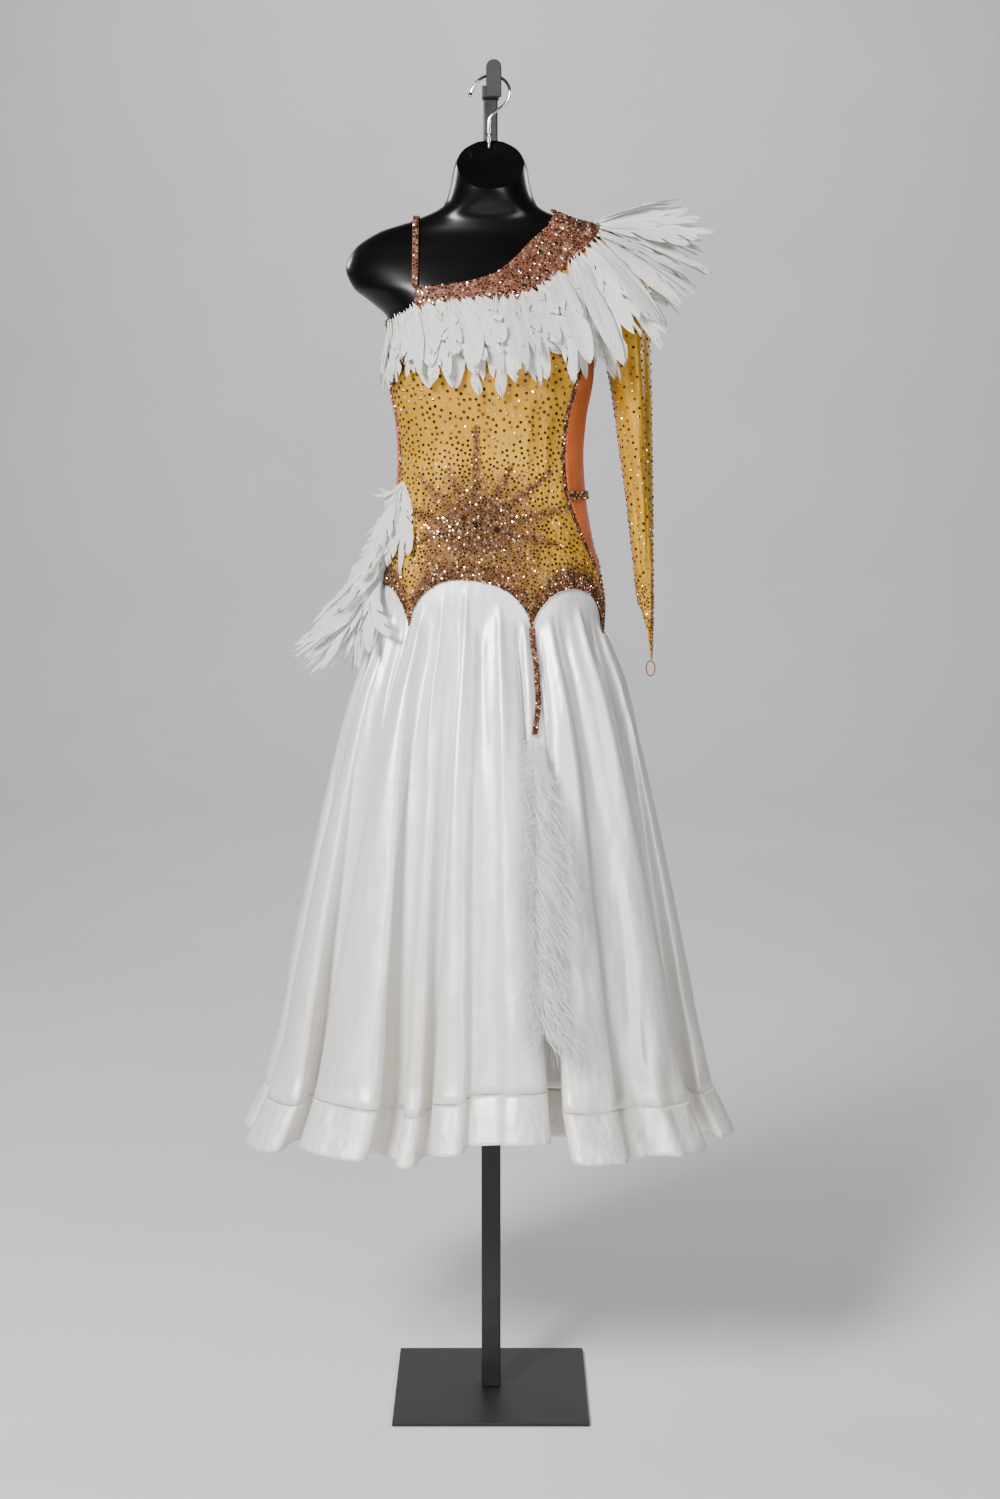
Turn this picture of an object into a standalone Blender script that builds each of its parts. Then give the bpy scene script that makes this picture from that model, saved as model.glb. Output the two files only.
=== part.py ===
"""A one-shouldered dance dress with a six-gore satin skirt, on a limbless torso form and its stand.

Metres, +Z up. The origin is the centre of the base plate's underside and the dress faces -Y.
Angles round the body are in degrees from the front, growing towards +X, so 90 is the +X side.
"""
import bisect
import math
from collections import namedtuple

import bmesh
import bpy
from mathutils import Vector
from mathutils.bvhtree import BVHTree

# Driving sizes
CLOTH = 0.0015            # thickness of every garment wall
BAND_CLOTH = 0.0024       # the neck band is stiffer, under its stones
EASE = 0.0026             # between the form and the cloth
HIP_LIFT = 0.0040         # the bodice's scalloped edge lies over the skirt's top edge
SHOULDER_EASE = 0.0045    # more over the shoulders, where the cloth bridges
SEAM = 0.0003             # between neighbouring pieces
TWIST = 12.0              # degrees that the dress has turned on the form, towards -X at the front
MESH_MIDDLE = 90.0        # the side seam's angle from the dress's own front
SHOULDER_RIDGE = 90.0     # angle of the shoulder seam
MESH_TOP = 1.645          # underarm
HEM_DEPTH = 0.066         # height of the stiffened hem

BASE_SIDE = 0.300
BASE_THICKNESS = 0.006
LOWER_POLE_SIDE = 0.030
LOWER_POLE_TOP = 1.020
UPPER_POLE_SIDE = 0.022
UPPER_POLE_TOP = 1.985
FORM_BOTTOM = 1.080
HOOK_RADIUS = 0.0022
HOOK_Y = -0.052

# The torso form: horizontal sections, from its cut bottom up to the neck
Section = namedtuple("Section", "height half_width front back squareness")
FORM_SECTIONS = [
    Section(1.080, 0.140, -0.146, 0.044, 2.3),
    Section(1.130, 0.154, -0.154, 0.054, 2.3),
    Section(1.190, 0.1625, -0.158, 0.060, 2.3),
    Section(1.234, 0.1635, -0.157, 0.060, 2.3),
    Section(1.290, 0.156, -0.151, 0.050, 2.3),
    Section(1.345, 0.1465, -0.144, 0.036, 2.3),
    Section(1.405, 0.1370, -0.139, 0.024, 2.2),
    Section(1.463, 0.1335, -0.141, 0.020, 2.2),
    Section(1.514, 0.1370, -0.150, 0.026, 2.2),
    Section(1.585, 0.1480, -0.171, 0.036, 2.2),
    Section(1.640, 0.1470, -0.164, 0.043, 2.2),
    Section(1.660, 0.1500, -0.158, 0.044, 2.2),
    Section(1.687, 0.1770, -0.148, 0.044, 2.2),
    Section(1.706, 0.2010, -0.140, 0.042, 2.2),
    Section(1.735, 0.2130, -0.127, 0.039, 2.2),
    Section(1.761, 0.2020, -0.115, 0.033, 2.2),
    Section(1.788, 0.1640, -0.104, 0.024, 2.2),
    Section(1.802, 0.1180, -0.103, 0.014, 2.2),
    Section(1.824, 0.0690, -0.112, 0.002, 2.1),
    Section(1.849, 0.0590, -0.117, -0.003, 2.0),
    Section(1.880, 0.0530, -0.112, -0.008, 2.0),
    Section(1.904, 0.0400, -0.101, -0.018, 2.0),
    Section(1.918, 0.0230, -0.084, -0.036, 2.0),
]
FORM_TOP = Vector((0.0, -0.060, 1.924))
FORM_SIDES = 28
NECK_LIP = Vector((0.0, -0.1145, 1.843))      # lowest point of the slanted neck face
NECK_FACE_LEAN = 47.0                         # degrees of that face from level

# The side mesh's front edge, as an angle from the dress's own front
EdgePoint = namedtuple("EdgePoint", "height angle")
MESH_EDGE = [
    EdgePoint(1.285, MESH_MIDDLE - 1.2),
    EdgePoint(1.325, 80.0),
    EdgePoint(1.375, 69.0),
    EdgePoint(1.430, 63.5),
    EdgePoint(1.485, 63.2),
    EdgePoint(1.535, 66.0),
    EdgePoint(1.580, 70.5),
    EdgePoint(1.645, 78.0),
]

# The neck band, from the end under the strap to the shoulder seam, mirrored on the back
BandPoint = namedtuple("BandPoint", "low_angle low_height high_angle high_height")
NECK_BAND = [
    BandPoint(-40.4, 1.668, -31.0, 1.699),
    BandPoint(-23.0, 1.674, -19.0, 1.701),
    BandPoint(-4.0, 1.678, -8.0, 1.706),
    BandPoint(11.5, 1.684, 0.0, 1.715),
    BandPoint(21.7, 1.705, 7.5, 1.739),
    BandPoint(31.9, 1.739, 15.9, 1.768),
    BandPoint(50.0, 1.768, 30.0, 1.791),
    BandPoint(68.0, 1.783, 52.0, 1.804),
    BandPoint(90.0, 1.790, 90.0, 1.814),
]

# The armhole of the sleeve: from the underarm to the shoulder seam, mirrored on the back
ArmholePoint = namedtuple("ArmholePoint", "angle height")
ARMHOLE = [
    ArmholePoint(61.0, 1.672),
    ArmholePoint(54.5, 1.705),
    ArmholePoint(56.0, 1.742),
    ArmholePoint(70.0, 1.761),
    ArmholePoint(90.0, 1.770),
]

# The scalloped hip edge: each scallop's left point and the top of its arch
Scallop = namedtuple("Scallop", "angle point arch")
SCALLOPS = [
    Scallop(-42.0, 1.213, 1.282),
    Scallop(18.0, 1.210, 1.267),
    Scallop(78.0, 1.190, 1.262),
    Scallop(138.0, 1.205, 1.270),
    Scallop(198.0, 1.210, 1.275),
    Scallop(258.0, 1.202, 1.272),
]
SCALLOP_SPAN = 60.0

# How far the skirt stands out from the hips, before its folds
Flare = namedtuple("Flare", "height reach")
SKIRT_FLARE = [
    Flare(0.40, 0.200),
    Flare(0.455, 0.186),
    Flare(0.523, 0.163),
    Flare(0.600, 0.146),
    Flare(0.695, 0.129),
    Flare(0.866, 0.096),
    Flare(1.043, 0.058),
    Flare(1.126, 0.035),
    Flare(1.189, 0.012),
    Flare(1.235, 0.001),
    Flare(1.300, 0.000),
]
SKIRT_HIP = 1.205         # below this the skirt hangs from the hips' own outline

# The skirt's folds at the hem: valley before each crest, crest, reach out and in, overlap, hem
Fold = namedtuple("Fold", "valley crest reach depth overlap hem steps")
FOLDS = [
    Fold(-104.0, -92.0, 0.016, 0.045, 0.012, 0.446, 4),
    Fold(-79.0, -65.0, 0.020, 0.044, 0.016, 0.450, 4),
    Fold(-53.0, -36.5, 0.022, 0.050, 0.022, 0.473, 4),
    Fold(-25.5, -20.0, -0.022, 0.050, 0.006, 0.455, 3),
    Fold(-14.8, -8.0, 0.010, 0.060, 0.012, 0.485, 3),
    Fold(-2.2, 6.5, 0.016, 0.010, 0.012, 0.500, 3),
    Fold(16.0, 26.0, 0.020, 0.066, 0.018, 0.470, 4),
    Fold(35.0, 50.0, 0.022, 0.004, 0.010, 0.462, 4),
    Fold(65.0, 75.5, 0.012, 0.042, 0.014, 0.455, 4),
    Fold(86.5, 98.0, 0.006, 0.046, 0.012, 0.450, 3),
    Fold(111.0, 123.0, 0.024, 0.044, 0.014, 0.456, 3),
    Fold(136.0, 147.5, 0.018, 0.050, 0.014, 0.448, 3),
    Fold(159.0, 171.0, 0.026, 0.046, 0.014, 0.460, 3),
    Fold(183.0, 194.0, 0.018, 0.052, 0.012, 0.450, 3),
    Fold(206.0, 218.0, 0.026, 0.044, 0.016, 0.458, 3),
    Fold(231.0, 243.0, 0.020, 0.048, 0.014, 0.452, 3),
]
FOLD_DROP = 0.065         # the fold depth that a fold's overlap is given for
SKIRT_ROWS = (-0.004, 0.03, 0.09, 0.19, 0.34, 0.54, 0.77, 0.93, 1.0)

# The sleeve: inner and outer edge seen from the front, and its front and back
SleeveRing = namedtuple("SleeveRing", "inner_x inner_z outer_x outer_z front back")
SLEEVE_RINGS = [
    SleeveRing(0.1570, 1.6430, 0.2130, 1.7740, -0.103, 0.024),
    SleeveRing(0.1600, 1.6420, 0.2290, 1.7480, -0.100, 0.021),
    SleeveRing(0.1620, 1.6390, 0.2350, 1.7120, -0.096, 0.016),
    SleeveRing(0.1645, 1.6360, 0.2360, 1.6660, -0.094, 0.012),
    SleeveRing(0.1680, 1.6120, 0.2360, 1.6220, -0.093, 0.011),
    SleeveRing(0.1810, 1.5440, 0.2390, 1.5470, -0.089, 0.006),
    SleeveRing(0.1915, 1.4700, 0.2405, 1.4710, -0.084, 0.000),
    SleeveRing(0.2020, 1.3970, 0.2420, 1.3980, -0.078, -0.006),
    SleeveRing(0.2110, 1.3200, 0.2430, 1.3210, -0.072, -0.013),
    SleeveRing(0.2185, 1.2480, 0.2440, 1.2490, -0.066, -0.020),
    SleeveRing(0.2215, 1.2160, 0.2435, 1.2160, -0.062, -0.024),
    SleeveRing(0.2230, 1.2040, 0.2425, 1.1980, -0.060, -0.026),
]
SLEEVE_SIDES = 16
CUFF_POINT = 0.040        # how far the cuff's point hangs at its outer edge
CUFF_RISE = 0.036         # how much higher the cuff's inner edge ends
STRIP_DRIFT = 2.6         # degrees that the stoned strip turns towards the front, to hang plumb
STRIP_TOP = 1.2070        # just below the middle scallop point
STRIP_LOW = 1.0620        # where the plume takes over

Look = namedtuple("Look", "colour roughness metallic")
LOOKS = {
    "gold_satin": Look((0.56, 0.36, 0.07), 0.38, 0.0),
    "rust_mesh": Look((0.50, 0.16, 0.05), 0.70, 0.0),
    "white_satin": Look((0.86, 0.85, 0.83), 0.35, 0.0),
    "stoned_band": Look((0.42, 0.17, 0.08), 0.30, 0.2),
    "feather_white": Look((0.90, 0.90, 0.88), 0.80, 0.0),
    "topaz_stone": Look((0.16, 0.06, 0.02), 0.10, 0.0),
    "copper_elastic": Look((0.60, 0.27, 0.13), 0.50, 0.2),
    "form_black": Look((0.012, 0.012, 0.013), 0.32, 0.0),
    "stand_black": Look((0.010, 0.010, 0.010), 0.45, 0.0),
    "chrome": Look((0.80, 0.80, 0.82), 0.08, 1.0),
}


def clear_scene():
    for old in list(bpy.data.objects):
        bpy.data.objects.remove(old, do_unlink=True)


def look(name):
    """The material of that name, made on first use."""
    found = bpy.data.materials.get(name)
    if found:
        return found
    made = bpy.data.materials.new(name)
    made.use_nodes = True
    shader = made.node_tree.nodes["Principled BSDF"]
    values = LOOKS[name]
    shader.inputs["Base Color"].default_value = (*values.colour, 1.0)
    shader.inputs["Roughness"].default_value = values.roughness
    shader.inputs["Metallic"].default_value = values.metallic
    return made


def add_object(name, mesh, look_name):
    """Turn a bmesh with closed walls into a named object, its faces pointing out."""
    bmesh.ops.recalc_face_normals(mesh, faces=mesh.faces)
    data = bpy.data.meshes.new(name)
    mesh.to_mesh(data)
    mesh.free()
    data.materials.append(look(look_name))
    made = bpy.data.objects.new(name, data)
    bpy.context.collection.objects.link(made)
    return made


class Smooth:
    """A smooth curve through the points of a table, which never overshoots them."""

    def __init__(self, keys, values):
        self.keys = list(keys)
        self.values = list(values)
        pairs = list(zip(self.keys, self.values))
        steps = [(b[1] - a[1]) / (b[0] - a[0]) for a, b in zip(pairs, pairs[1:])]
        middle = [2 * a * b / (a + b) if a * b > 0 else 0.0 for a, b in zip(steps, steps[1:])]
        self.slopes = [steps[0]] + middle + [steps[-1]]

    def __call__(self, key):
        at = bisect.bisect_right(self.keys, key) - 1
        at = min(max(at, 0), len(self.keys) - 2)
        width = self.keys[at + 1] - self.keys[at]
        t = min(max((key - self.keys[at]) / width, 0.0), 1.0)
        rise = self.values[at + 1] - self.values[at]
        start, end = self.slopes[at] * width, self.slopes[at + 1] * width
        return (self.values[at] + start * t + (3 * rise - 2 * start - end) * t * t
                + (start + end - 2 * rise) * t ** 3)


def column(table, key, value):
    """A smooth curve that reads one named column of a table against another."""
    rows = sorted(table, key=lambda row: getattr(row, key))
    return Smooth([getattr(row, key) for row in rows], [getattr(row, value) for row in rows])


FORM_HALF_WIDTH = column(FORM_SECTIONS, "height", "half_width")
FORM_FRONT = column(FORM_SECTIONS, "height", "front")
FORM_BACK = column(FORM_SECTIONS, "height", "back")
FORM_SQUARENESS = column(FORM_SECTIONS, "height", "squareness")
MESH_EDGE_ANGLE = column(MESH_EDGE, "height", "angle")
SKIRT_REACH = column(SKIRT_FLARE, "height", "reach")


def signed_power(value, power):
    return math.copysign(abs(value) ** power, value)


def form_point(angle, height):
    """A point of the torso's surface."""
    turn = math.radians(angle)
    power = 2.0 / FORM_SQUARENESS(height)
    front, back = FORM_FRONT(height), FORM_BACK(height)
    across = FORM_HALF_WIDTH(height) * signed_power(math.sin(turn), power)
    deep = (back - front) / 2 * signed_power(math.cos(turn), power)
    return Vector((across, (front + back) / 2 - deep, height))


def normal_of(surface, a, b, step_a, step_b):
    """Outward normal of a surface of two numbers, by central differences."""
    along = surface(a + step_a, b) - surface(a - step_a, b)
    up = surface(a, b + step_b) - surface(a, b - step_b)
    return along.cross(up).normalized()


def on_form(angle, height, distance):
    """A point that lies a distance out from the torso."""
    return form_point(angle, height) + normal_of(form_point, angle, height, 1.5, 0.004) * distance


def ramp(value, start, end):
    """0 below start and 1 beyond end, with a smooth rise between."""
    share = min(max((value - start) / (end - start), 0.0), 1.0)
    return share * share * (3 - 2 * share)


def ease(height):
    """Room between the form and the bodice, which grows over the shoulders and the skirt's top."""
    over_shoulder = (SHOULDER_EASE - EASE) * ramp(height, 1.626, 1.664)
    return EASE + over_shoulder + HIP_LIFT * (1 - ramp(height, 1.292, 1.335))


def wall(name, inner, outer, look_name, ring=False):
    """A wall between two grids of points, closed round its rim. A ring's rows join up."""
    mesh = bmesh.new()
    near = [[mesh.verts.new(point) for point in row] for row in inner]
    far = [[mesh.verts.new(point) for point in row] for row in outer]
    rows, columns = len(near), len(near[0])
    pairs = [(c, c + 1) for c in range(columns - 1)]
    if ring:
        pairs.append((columns - 1, 0))
    for r in range(rows - 1):
        for c, d in pairs:
            mesh.faces.new((far[r][c], far[r][d], far[r + 1][d]))
            mesh.faces.new((far[r][c], far[r + 1][d], far[r + 1][c]))
            mesh.faces.new((near[r][c], near[r + 1][d], near[r][d]))
            mesh.faces.new((near[r][c], near[r + 1][c], near[r + 1][d]))
        if not ring:
            for c in (0, columns - 1):
                mesh.faces.new((near[r][c], near[r + 1][c], far[r + 1][c], far[r][c]))
    for r in (0, rows - 1):
        for c, d in pairs:
            mesh.faces.new((near[r][c], near[r][d], far[r][d], far[r][c]))
    return add_object(name, mesh, look_name)


def panel_on_form(name, grid, look_name, base=0.0, thickness=CLOTH):
    """A wall over the form from a grid of angle and height pairs, lifted by base."""
    inner = [[on_form(a, h, ease(h) + base) for a, h in row] for row in grid]
    outer = [[on_form(a, h, ease(h) + base + thickness) for a, h in row] for row in grid]
    return wall(name, inner, outer, look_name)


def blend(a, b, share):
    """Part of the way between two numbers, pairs or vectors."""
    if isinstance(a, (int, float)):
        return a + (b - a) * share
    if isinstance(a, Vector):
        return a.lerp(b, share)
    return tuple(x + (y - x) * share for x, y in zip(a, b))


def hip_edge(angle):
    """Height of the scalloped seam between bodice and skirt."""
    angle = (angle - SCALLOPS[0].angle) % 360.0
    index = int(angle // SCALLOP_SPAN)
    share = angle / SCALLOP_SPAN - index
    here, after = SCALLOPS[index], SCALLOPS[(index + 1) % len(SCALLOPS)]
    foot = blend(here.point, after.point, share)
    rise = here.arch - (here.point + after.point) / 2
    return foot + rise * (1 - abs(2 * share - 1) ** 2.2) ** 0.62


def front_edge(height, side):
    """Angle of the side mesh's front edge, on the +X side or the -X side."""
    angle = MESH_EDGE_ANGLE(height) if height >= MESH_EDGE[0].height else MESH_MIDDLE
    return side * angle - TWIST


def back_edge(height, side):
    """Angle of the side mesh's back edge, the mirror of the front one about the side seam."""
    angle = MESH_EDGE_ANGLE(height) if height >= MESH_EDGE[0].height else MESH_MIDDLE
    return side * (2 * MESH_MIDDLE - angle) - TWIST


def band_edges(share):
    """Low and high edge of the neck band, from its strap end at 0 to the shoulder at 1."""
    low = (BAND_LOW_ANGLE(share), BAND_LOW_HEIGHT(share))
    high = (BAND_HIGH_ANGLE(share), BAND_HIGH_HEIGHT(share))
    return low, high


def band_curve(name):
    stations = [i / (len(NECK_BAND) - 1) for i in range(len(NECK_BAND))]
    return Smooth(stations, [getattr(row, name) for row in NECK_BAND])


BAND_LOW_ANGLE = band_curve("low_angle")
BAND_LOW_HEIGHT = band_curve("low_height")
BAND_HIGH_ANGLE = band_curve("high_angle")
BAND_HIGH_HEIGHT = band_curve("high_height")
SCALLOP_STEPS = (0.0, 0.05, 0.15, 0.32, 0.50, 0.68, 0.85, 0.95)
UNDERARM_COLUMNS = 4      # bodice columns along the bare side's underarm edge
BAND_COLUMNS = 18         # bodice columns along the neck band
SHOULDER_COLUMNS = 2      # bodice columns along the shoulder seam
# Where the bodice's columns stand across the chest, as a share of its width
CHEST_SHARE = Smooth((0, 4, 12, 22, 24), (0.0, 0.29, 0.66, 0.935, 1.0))


def bodice_top(left):
    """The bodice's upper edge, as angle and height pairs from the bare side to the shoulder."""
    start, band_end = (left, MESH_TOP + 0.010), band_edges(0.0)[0]
    top = [blend(start, band_end, i / UNDERARM_COLUMNS) for i in range(UNDERARM_COLUMNS)]
    top += [band_edges(i / BAND_COLUMNS)[0] for i in range(BAND_COLUMNS)]
    seam_in, seam_out = band_edges(1.0)[0], (SHOULDER_RIDGE, ARMHOLE[-1].height)
    seam_in, seam_out = (seam_in[0] - 0.1, seam_in[1]), (seam_out[0] - 0.1, seam_out[1])
    top += [blend(seam_in, seam_out, i / SHOULDER_COLUMNS) for i in range(SHOULDER_COLUMNS + 1)]
    return top


def bodice_grid(left_edge, right_edge, hip):
    """Angle and height pairs of one bodice panel, from the scalloped hip up to the neckline.

    The angles are those of the front; the back panel mirrors them.
    """
    columns = UNDERARM_COLUMNS + BAND_COLUMNS + SHOULDER_COLUMNS
    shares = [c / columns for c in range(columns + 1)]
    scalloped = [(n + part) / 3 for n in range(3) for part in SCALLOP_STEPS] + [1.0]
    ends = left_edge(0.0), right_edge(0.0)
    hem = [blend(*ends, s) for s in scalloped]
    grid = [[(angle, hip(angle)) for angle in hem]]
    levels = [row.height for row in MESH_EDGE]
    low = [blend(*ends, (a + b) / 2) for a, b in zip(scalloped, shares)]
    grid.append([(angle, blend(hip(angle), levels[0] + 0.036, 0.5)) for angle in low])
    drawn = [CHEST_SHARE(c) for c in range(columns + 1)]
    for index, level in enumerate(levels):
        up = index / (len(levels) - 1)
        left, right = left_edge(level) + 0.11, right_edge(level) - 0.11
        grid.append([(blend(left, right, blend(s, d, up)),
                      level + 0.034 * (1 - up) * math.sin(math.pi * s) ** 0.7)
                     for s, d in zip(shares, drawn)])
    chest, top = grid[-1], bodice_top(left_edge(MESH_TOP) + 0.11)
    neckline = top[:-SHOULDER_COLUMNS]
    for index, point in enumerate(ARMHOLE):
        rise = (index + 1) / len(ARMHOLE)
        row = []
        for s, low_point, high_point in zip(shares, chest, top):
            plain = blend(low_point, high_point, rise)
            end = blend(chest[-1], top[-1], rise)
            pull = ramp(s, 0.42, 1.0)
            angle = plain[0] + (point.angle - end[0]) * pull
            height = plain[1] + (point.height - end[1]) * pull * s ** 3 - SEAM * rise
            above = edge_height(neckline, angle)
            below = above - (above - low_point[1]) * (1 - rise) * 0.45 - SEAM
            row.append((angle, min(height, below) if rise < 1 else height))
        grid.append(row)
    return grid


def edge_height(edge, angle):
    """Height of an edge at an angle, from its angle and height pairs."""
    for low, high in zip(edge, edge[1:]):
        if angle <= high[0]:
            return blend(low[1], high[1], (angle - low[0]) / (high[0] - low[0]))
    return edge[-1][1]


def mirrored(grid):
    """A grid's angles turned from the front to the back."""
    return [[(180.0 - angle, height) for angle, height in reversed(row)] for row in grid]


def build_bodice():
    front = bodice_grid(lambda h: front_edge(h, -1) + 0.06, lambda h: front_edge(h, 1) - 0.06,
                        hip_edge)
    panel_on_form("bodice_front", front, "gold_satin")
    back = bodice_grid(lambda h: -180.0 - back_edge(h, -1) + 0.06,
                       lambda h: 180.0 - back_edge(h, 1) - 0.06,
                       lambda angle: hip_edge(180.0 - angle))
    panel_on_form("bodice_back", mirrored(back), "gold_satin")


def build_side_mesh(name, side):
    """The lens of mesh between the bodice panels, from the underarm to the hip."""
    grid = []
    for row in MESH_EDGE:
        first, last = sorted((front_edge(row.height, side), back_edge(row.height, side)))
        inset = 0.11
        grid.append([(blend(first + inset, last - inset, i / 6), row.height) for i in range(7)])
    panel_on_form(name, grid, "rust_mesh")


def build_neck_band():
    """The stoned band in two halves, with a seam on the shoulder."""
    front = []
    for i in range(3):
        row = []
        for c in range(BAND_COLUMNS + 1):
            low, high = band_edges(c / BAND_COLUMNS)
            low = (low[0], low[1] + SEAM)
            row.append(blend(low, high, i / 2))
        row[-1] = (row[-1][0] - 0.1, row[-1][1])
        front.append(row)
    panel_on_form("neck_band_front", front, "stoned_band", thickness=BAND_CLOTH)
    panel_on_form("neck_band_back", mirrored(front), "stoned_band", thickness=BAND_CLOTH)


def build_strap(form_tree):
    """The thin strap over the bare shoulder, from the front band's end to the back one's."""
    width, steps = 0.009, 20
    x = -0.1075
    rows_in, rows_out = [], []
    for i in range(steps + 1):
        centre = push_clear(form_tree, strap_point(x, i / steps), 0.0030)
        out = strap_normal(x, i / steps)
        side = Vector((width / 2, 0.0, 0.0))
        rows_in.append([centre - side, centre + side])
        rows_out.append([centre - side + out * CLOTH, centre + side + out * CLOTH])
    wall("strap", rows_in, rows_out, "stoned_band")


def strap_point(x, share):
    """A point of the strap's underside: it lies on the shoulder where that bulges most."""
    path = strap_path(x)
    at = share * (len(path) - 1)
    index = min(int(at), len(path) - 2)
    return path[index].lerp(path[index + 1], at - index)


def strap_normal(x, share):
    step = 0.02
    ahead = strap_point(x, min(share + step, 1.0)) - strap_point(x, max(share - step, 0.0))
    return ahead.cross(Vector((1.0, 0.0, 0.0))).normalized() * -1.0


STRAP_PATHS = {}


def strap_path(x):
    """The outline of the form in the strap's plane, front to back, lifted by the strap's ease."""
    if x in STRAP_PATHS:
        return STRAP_PATHS[x]
    lift = 0.0022
    low = NECK_BAND[0].high_height + 0.002
    top = 1.8060
    heights = [low + (top - low) * (1 - (1 - i / 12) ** 2.0) for i in range(13)]
    front = [plane_point(x, h, -1, lift) for h in heights]
    back = [plane_point(x, h, 1, lift) for h in reversed(heights)]
    STRAP_PATHS[x] = front + back
    return STRAP_PATHS[x]


def plane_point(x, height, facing, lift):
    """Where the form's outline at a height meets the plane of that x, in front or behind."""
    half, power = FORM_HALF_WIDTH(height), FORM_SQUARENESS(height)
    deep = (1 - min(abs(x) / half, 0.999) ** power) ** (1 / power)
    angle = math.degrees(math.atan2(signed_power(x / half, power / 2), deep ** (power / 2)))
    if facing > 0:
        angle = 180.0 - angle
    return on_form(angle, height, lift)


def build_belt_tabs():
    """A short stoned tab over each side mesh at the waist."""
    for name, side in (("belt_tab_right", 1), ("belt_tab_left", -1)):
        grid = []
        for height in (1.397, 1.410):
            first, last = sorted((front_edge(height, side), back_edge(height, side)))
            reach = 2.5
            grid.append([(blend(first - reach, last + reach, i / 12), height) for i in range(13)])
        panel_on_form(name, grid, "stoned_band", base=CLOTH + 0.0022)


def fold_curve():
    """Tables of the hem's folds against angle, repeated past both ends so that they join."""
    keys, swing, hems = [], [], []
    for turn in (-360.0, 0.0, 360.0):
        for fold in FOLDS:
            keys += [fold.valley + turn, fold.crest + turn]
            swing += [-fold.depth, fold.reach]
    for turn in (-360.0, 0.0, 360.0):
        for fold in FOLDS:
            hems.append((fold.crest + turn, fold.hem))
    return Smooth(keys, swing), Smooth([k for k, _ in hems], [v for _, v in hems])


FOLD_SWING, HEM_HEIGHT = fold_curve()


def fold_overlap(angle):
    """Sideways swing that opens each fold of the hem into a loop, in metres."""
    angle = (angle - FOLDS[0].valley) % 360.0 + FOLDS[0].valley
    for fold, after in zip(FOLDS, FOLDS[1:] + FOLDS[:1]):
        end = after.valley if after is not FOLDS[0] else after.valley + 360.0
        if angle <= end:
            rising = angle <= fold.crest
            span = fold.crest - fold.valley if rising else end - fold.crest
            drop = fold.reach + (fold.depth if rising else after.depth)
            phase = (angle - fold.crest) / span
            return fold.overlap * max(drop, 0.0) / FOLD_DROP * math.sin(2 * math.pi * phase)
    return 0.0


def skirt_height(angle, share):
    """Height on the skirt: share 0 is the hip seam, 1 the hem seam, and 2 the hem's edge."""
    top, seam = hip_edge(angle), HEM_HEIGHT(angle) + HEM_DEPTH
    if share <= 1.0:
        return top + (seam - top) * share
    return seam - (share - 1.0) * HEM_DEPTH


def skirt_share(angle, height):
    """The share down the skirt at a height."""
    top, seam = hip_edge(angle), HEM_HEIGHT(angle) + HEM_DEPTH
    if height >= seam:
        return (top - height) / (top - seam)
    return 1.0 + (seam - height) / HEM_DEPTH


def skirt_normal(angle, share):
    height = skirt_height(angle, share)

    def level(turn, at):
        return skirt_point(turn, skirt_share(turn, at))

    return normal_of(level, angle, height, 0.25, 0.003)


def seam_normal(angle, share):
    """The shared normal of two gores where they meet."""
    return (skirt_normal(angle - 0.8, share) + skirt_normal(angle + 0.8, share)).normalized()


def skirt_point(angle, share):
    """A point of the skirt's inner side."""
    height = skirt_height(angle, share)
    turn = math.radians(angle)
    out = Vector((math.sin(turn), -math.cos(turn), 0.0))
    along = Vector((math.cos(turn), math.sin(turn), 0.0))
    if height > SKIRT_HIP:
        base = on_form(angle, height, EASE)
    else:
        base = on_form(angle, SKIRT_HIP, EASE)
        base.z = height
    fullness = min(max(share, 0.0), 1.0) ** 1.15
    start = 1 - math.exp(-max(share - 0.010, 0.0) / 0.030)
    kick = 0.010 * max(share - 1.0, 0.0)
    swing = FOLD_SWING(angle) * fullness * (1 + 0.10 * max(share - 1.0, 0.0))
    sideways = fold_overlap(angle) * fullness
    return base + out * (SKIRT_REACH(height) * start + swing + kick) + along * sideways


def skirt_angles(start, end):
    """Angles of one gore's columns: the folds' valleys and crests and even steps between."""
    found = []
    for turn in (-360.0, 0.0, 360.0):
        ends = [fold.valley for fold in FOLDS[1:]] + [FOLDS[0].valley + 360.0]
        for fold, last in zip(FOLDS, ends):
            half = fold.steps
            found += [blend(fold.valley, fold.crest, i / half) + turn for i in range(half)]
            found += [blend(fold.crest, last, i / half) + turn for i in range(half)]
    clear = 1.0
    inside = [a for a in sorted(found) if start + clear < a < end - clear]
    gap = 0.055
    return [start + gap] + inside + [end - gap]


def skirt_wall(name, angles, shares):
    inner, outer = [], []
    for share in shares:
        points = [skirt_point(angle, share) for angle in angles]
        normals = [skirt_normal(angle, share) for angle in angles]
        for end in (0, -1):
            normals[end] = seam_normal(angles[end], share)
        inner.append(points)
        outer.append([p + n * CLOTH for p, n in zip(points, normals)])
    return wall(name, inner, outer, "white_satin")


def build_skirt():
    for index, scallop in enumerate(SCALLOPS):
        angles = skirt_angles(scallop.angle, scallop.angle + SCALLOP_SPAN)
        length = 0.75
        rows = list(SKIRT_ROWS[:-1]) + [1.0 - SEAM / 2 / length]
        skirt_wall(f"skirt_gore_{index + 1}", angles, rows)
        hem_rows = (1.0 + SEAM / 2 / HEM_DEPTH, 1.5, 2.0)
        skirt_wall(f"hem_band_{index + 1}", angles, hem_rows)


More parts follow.
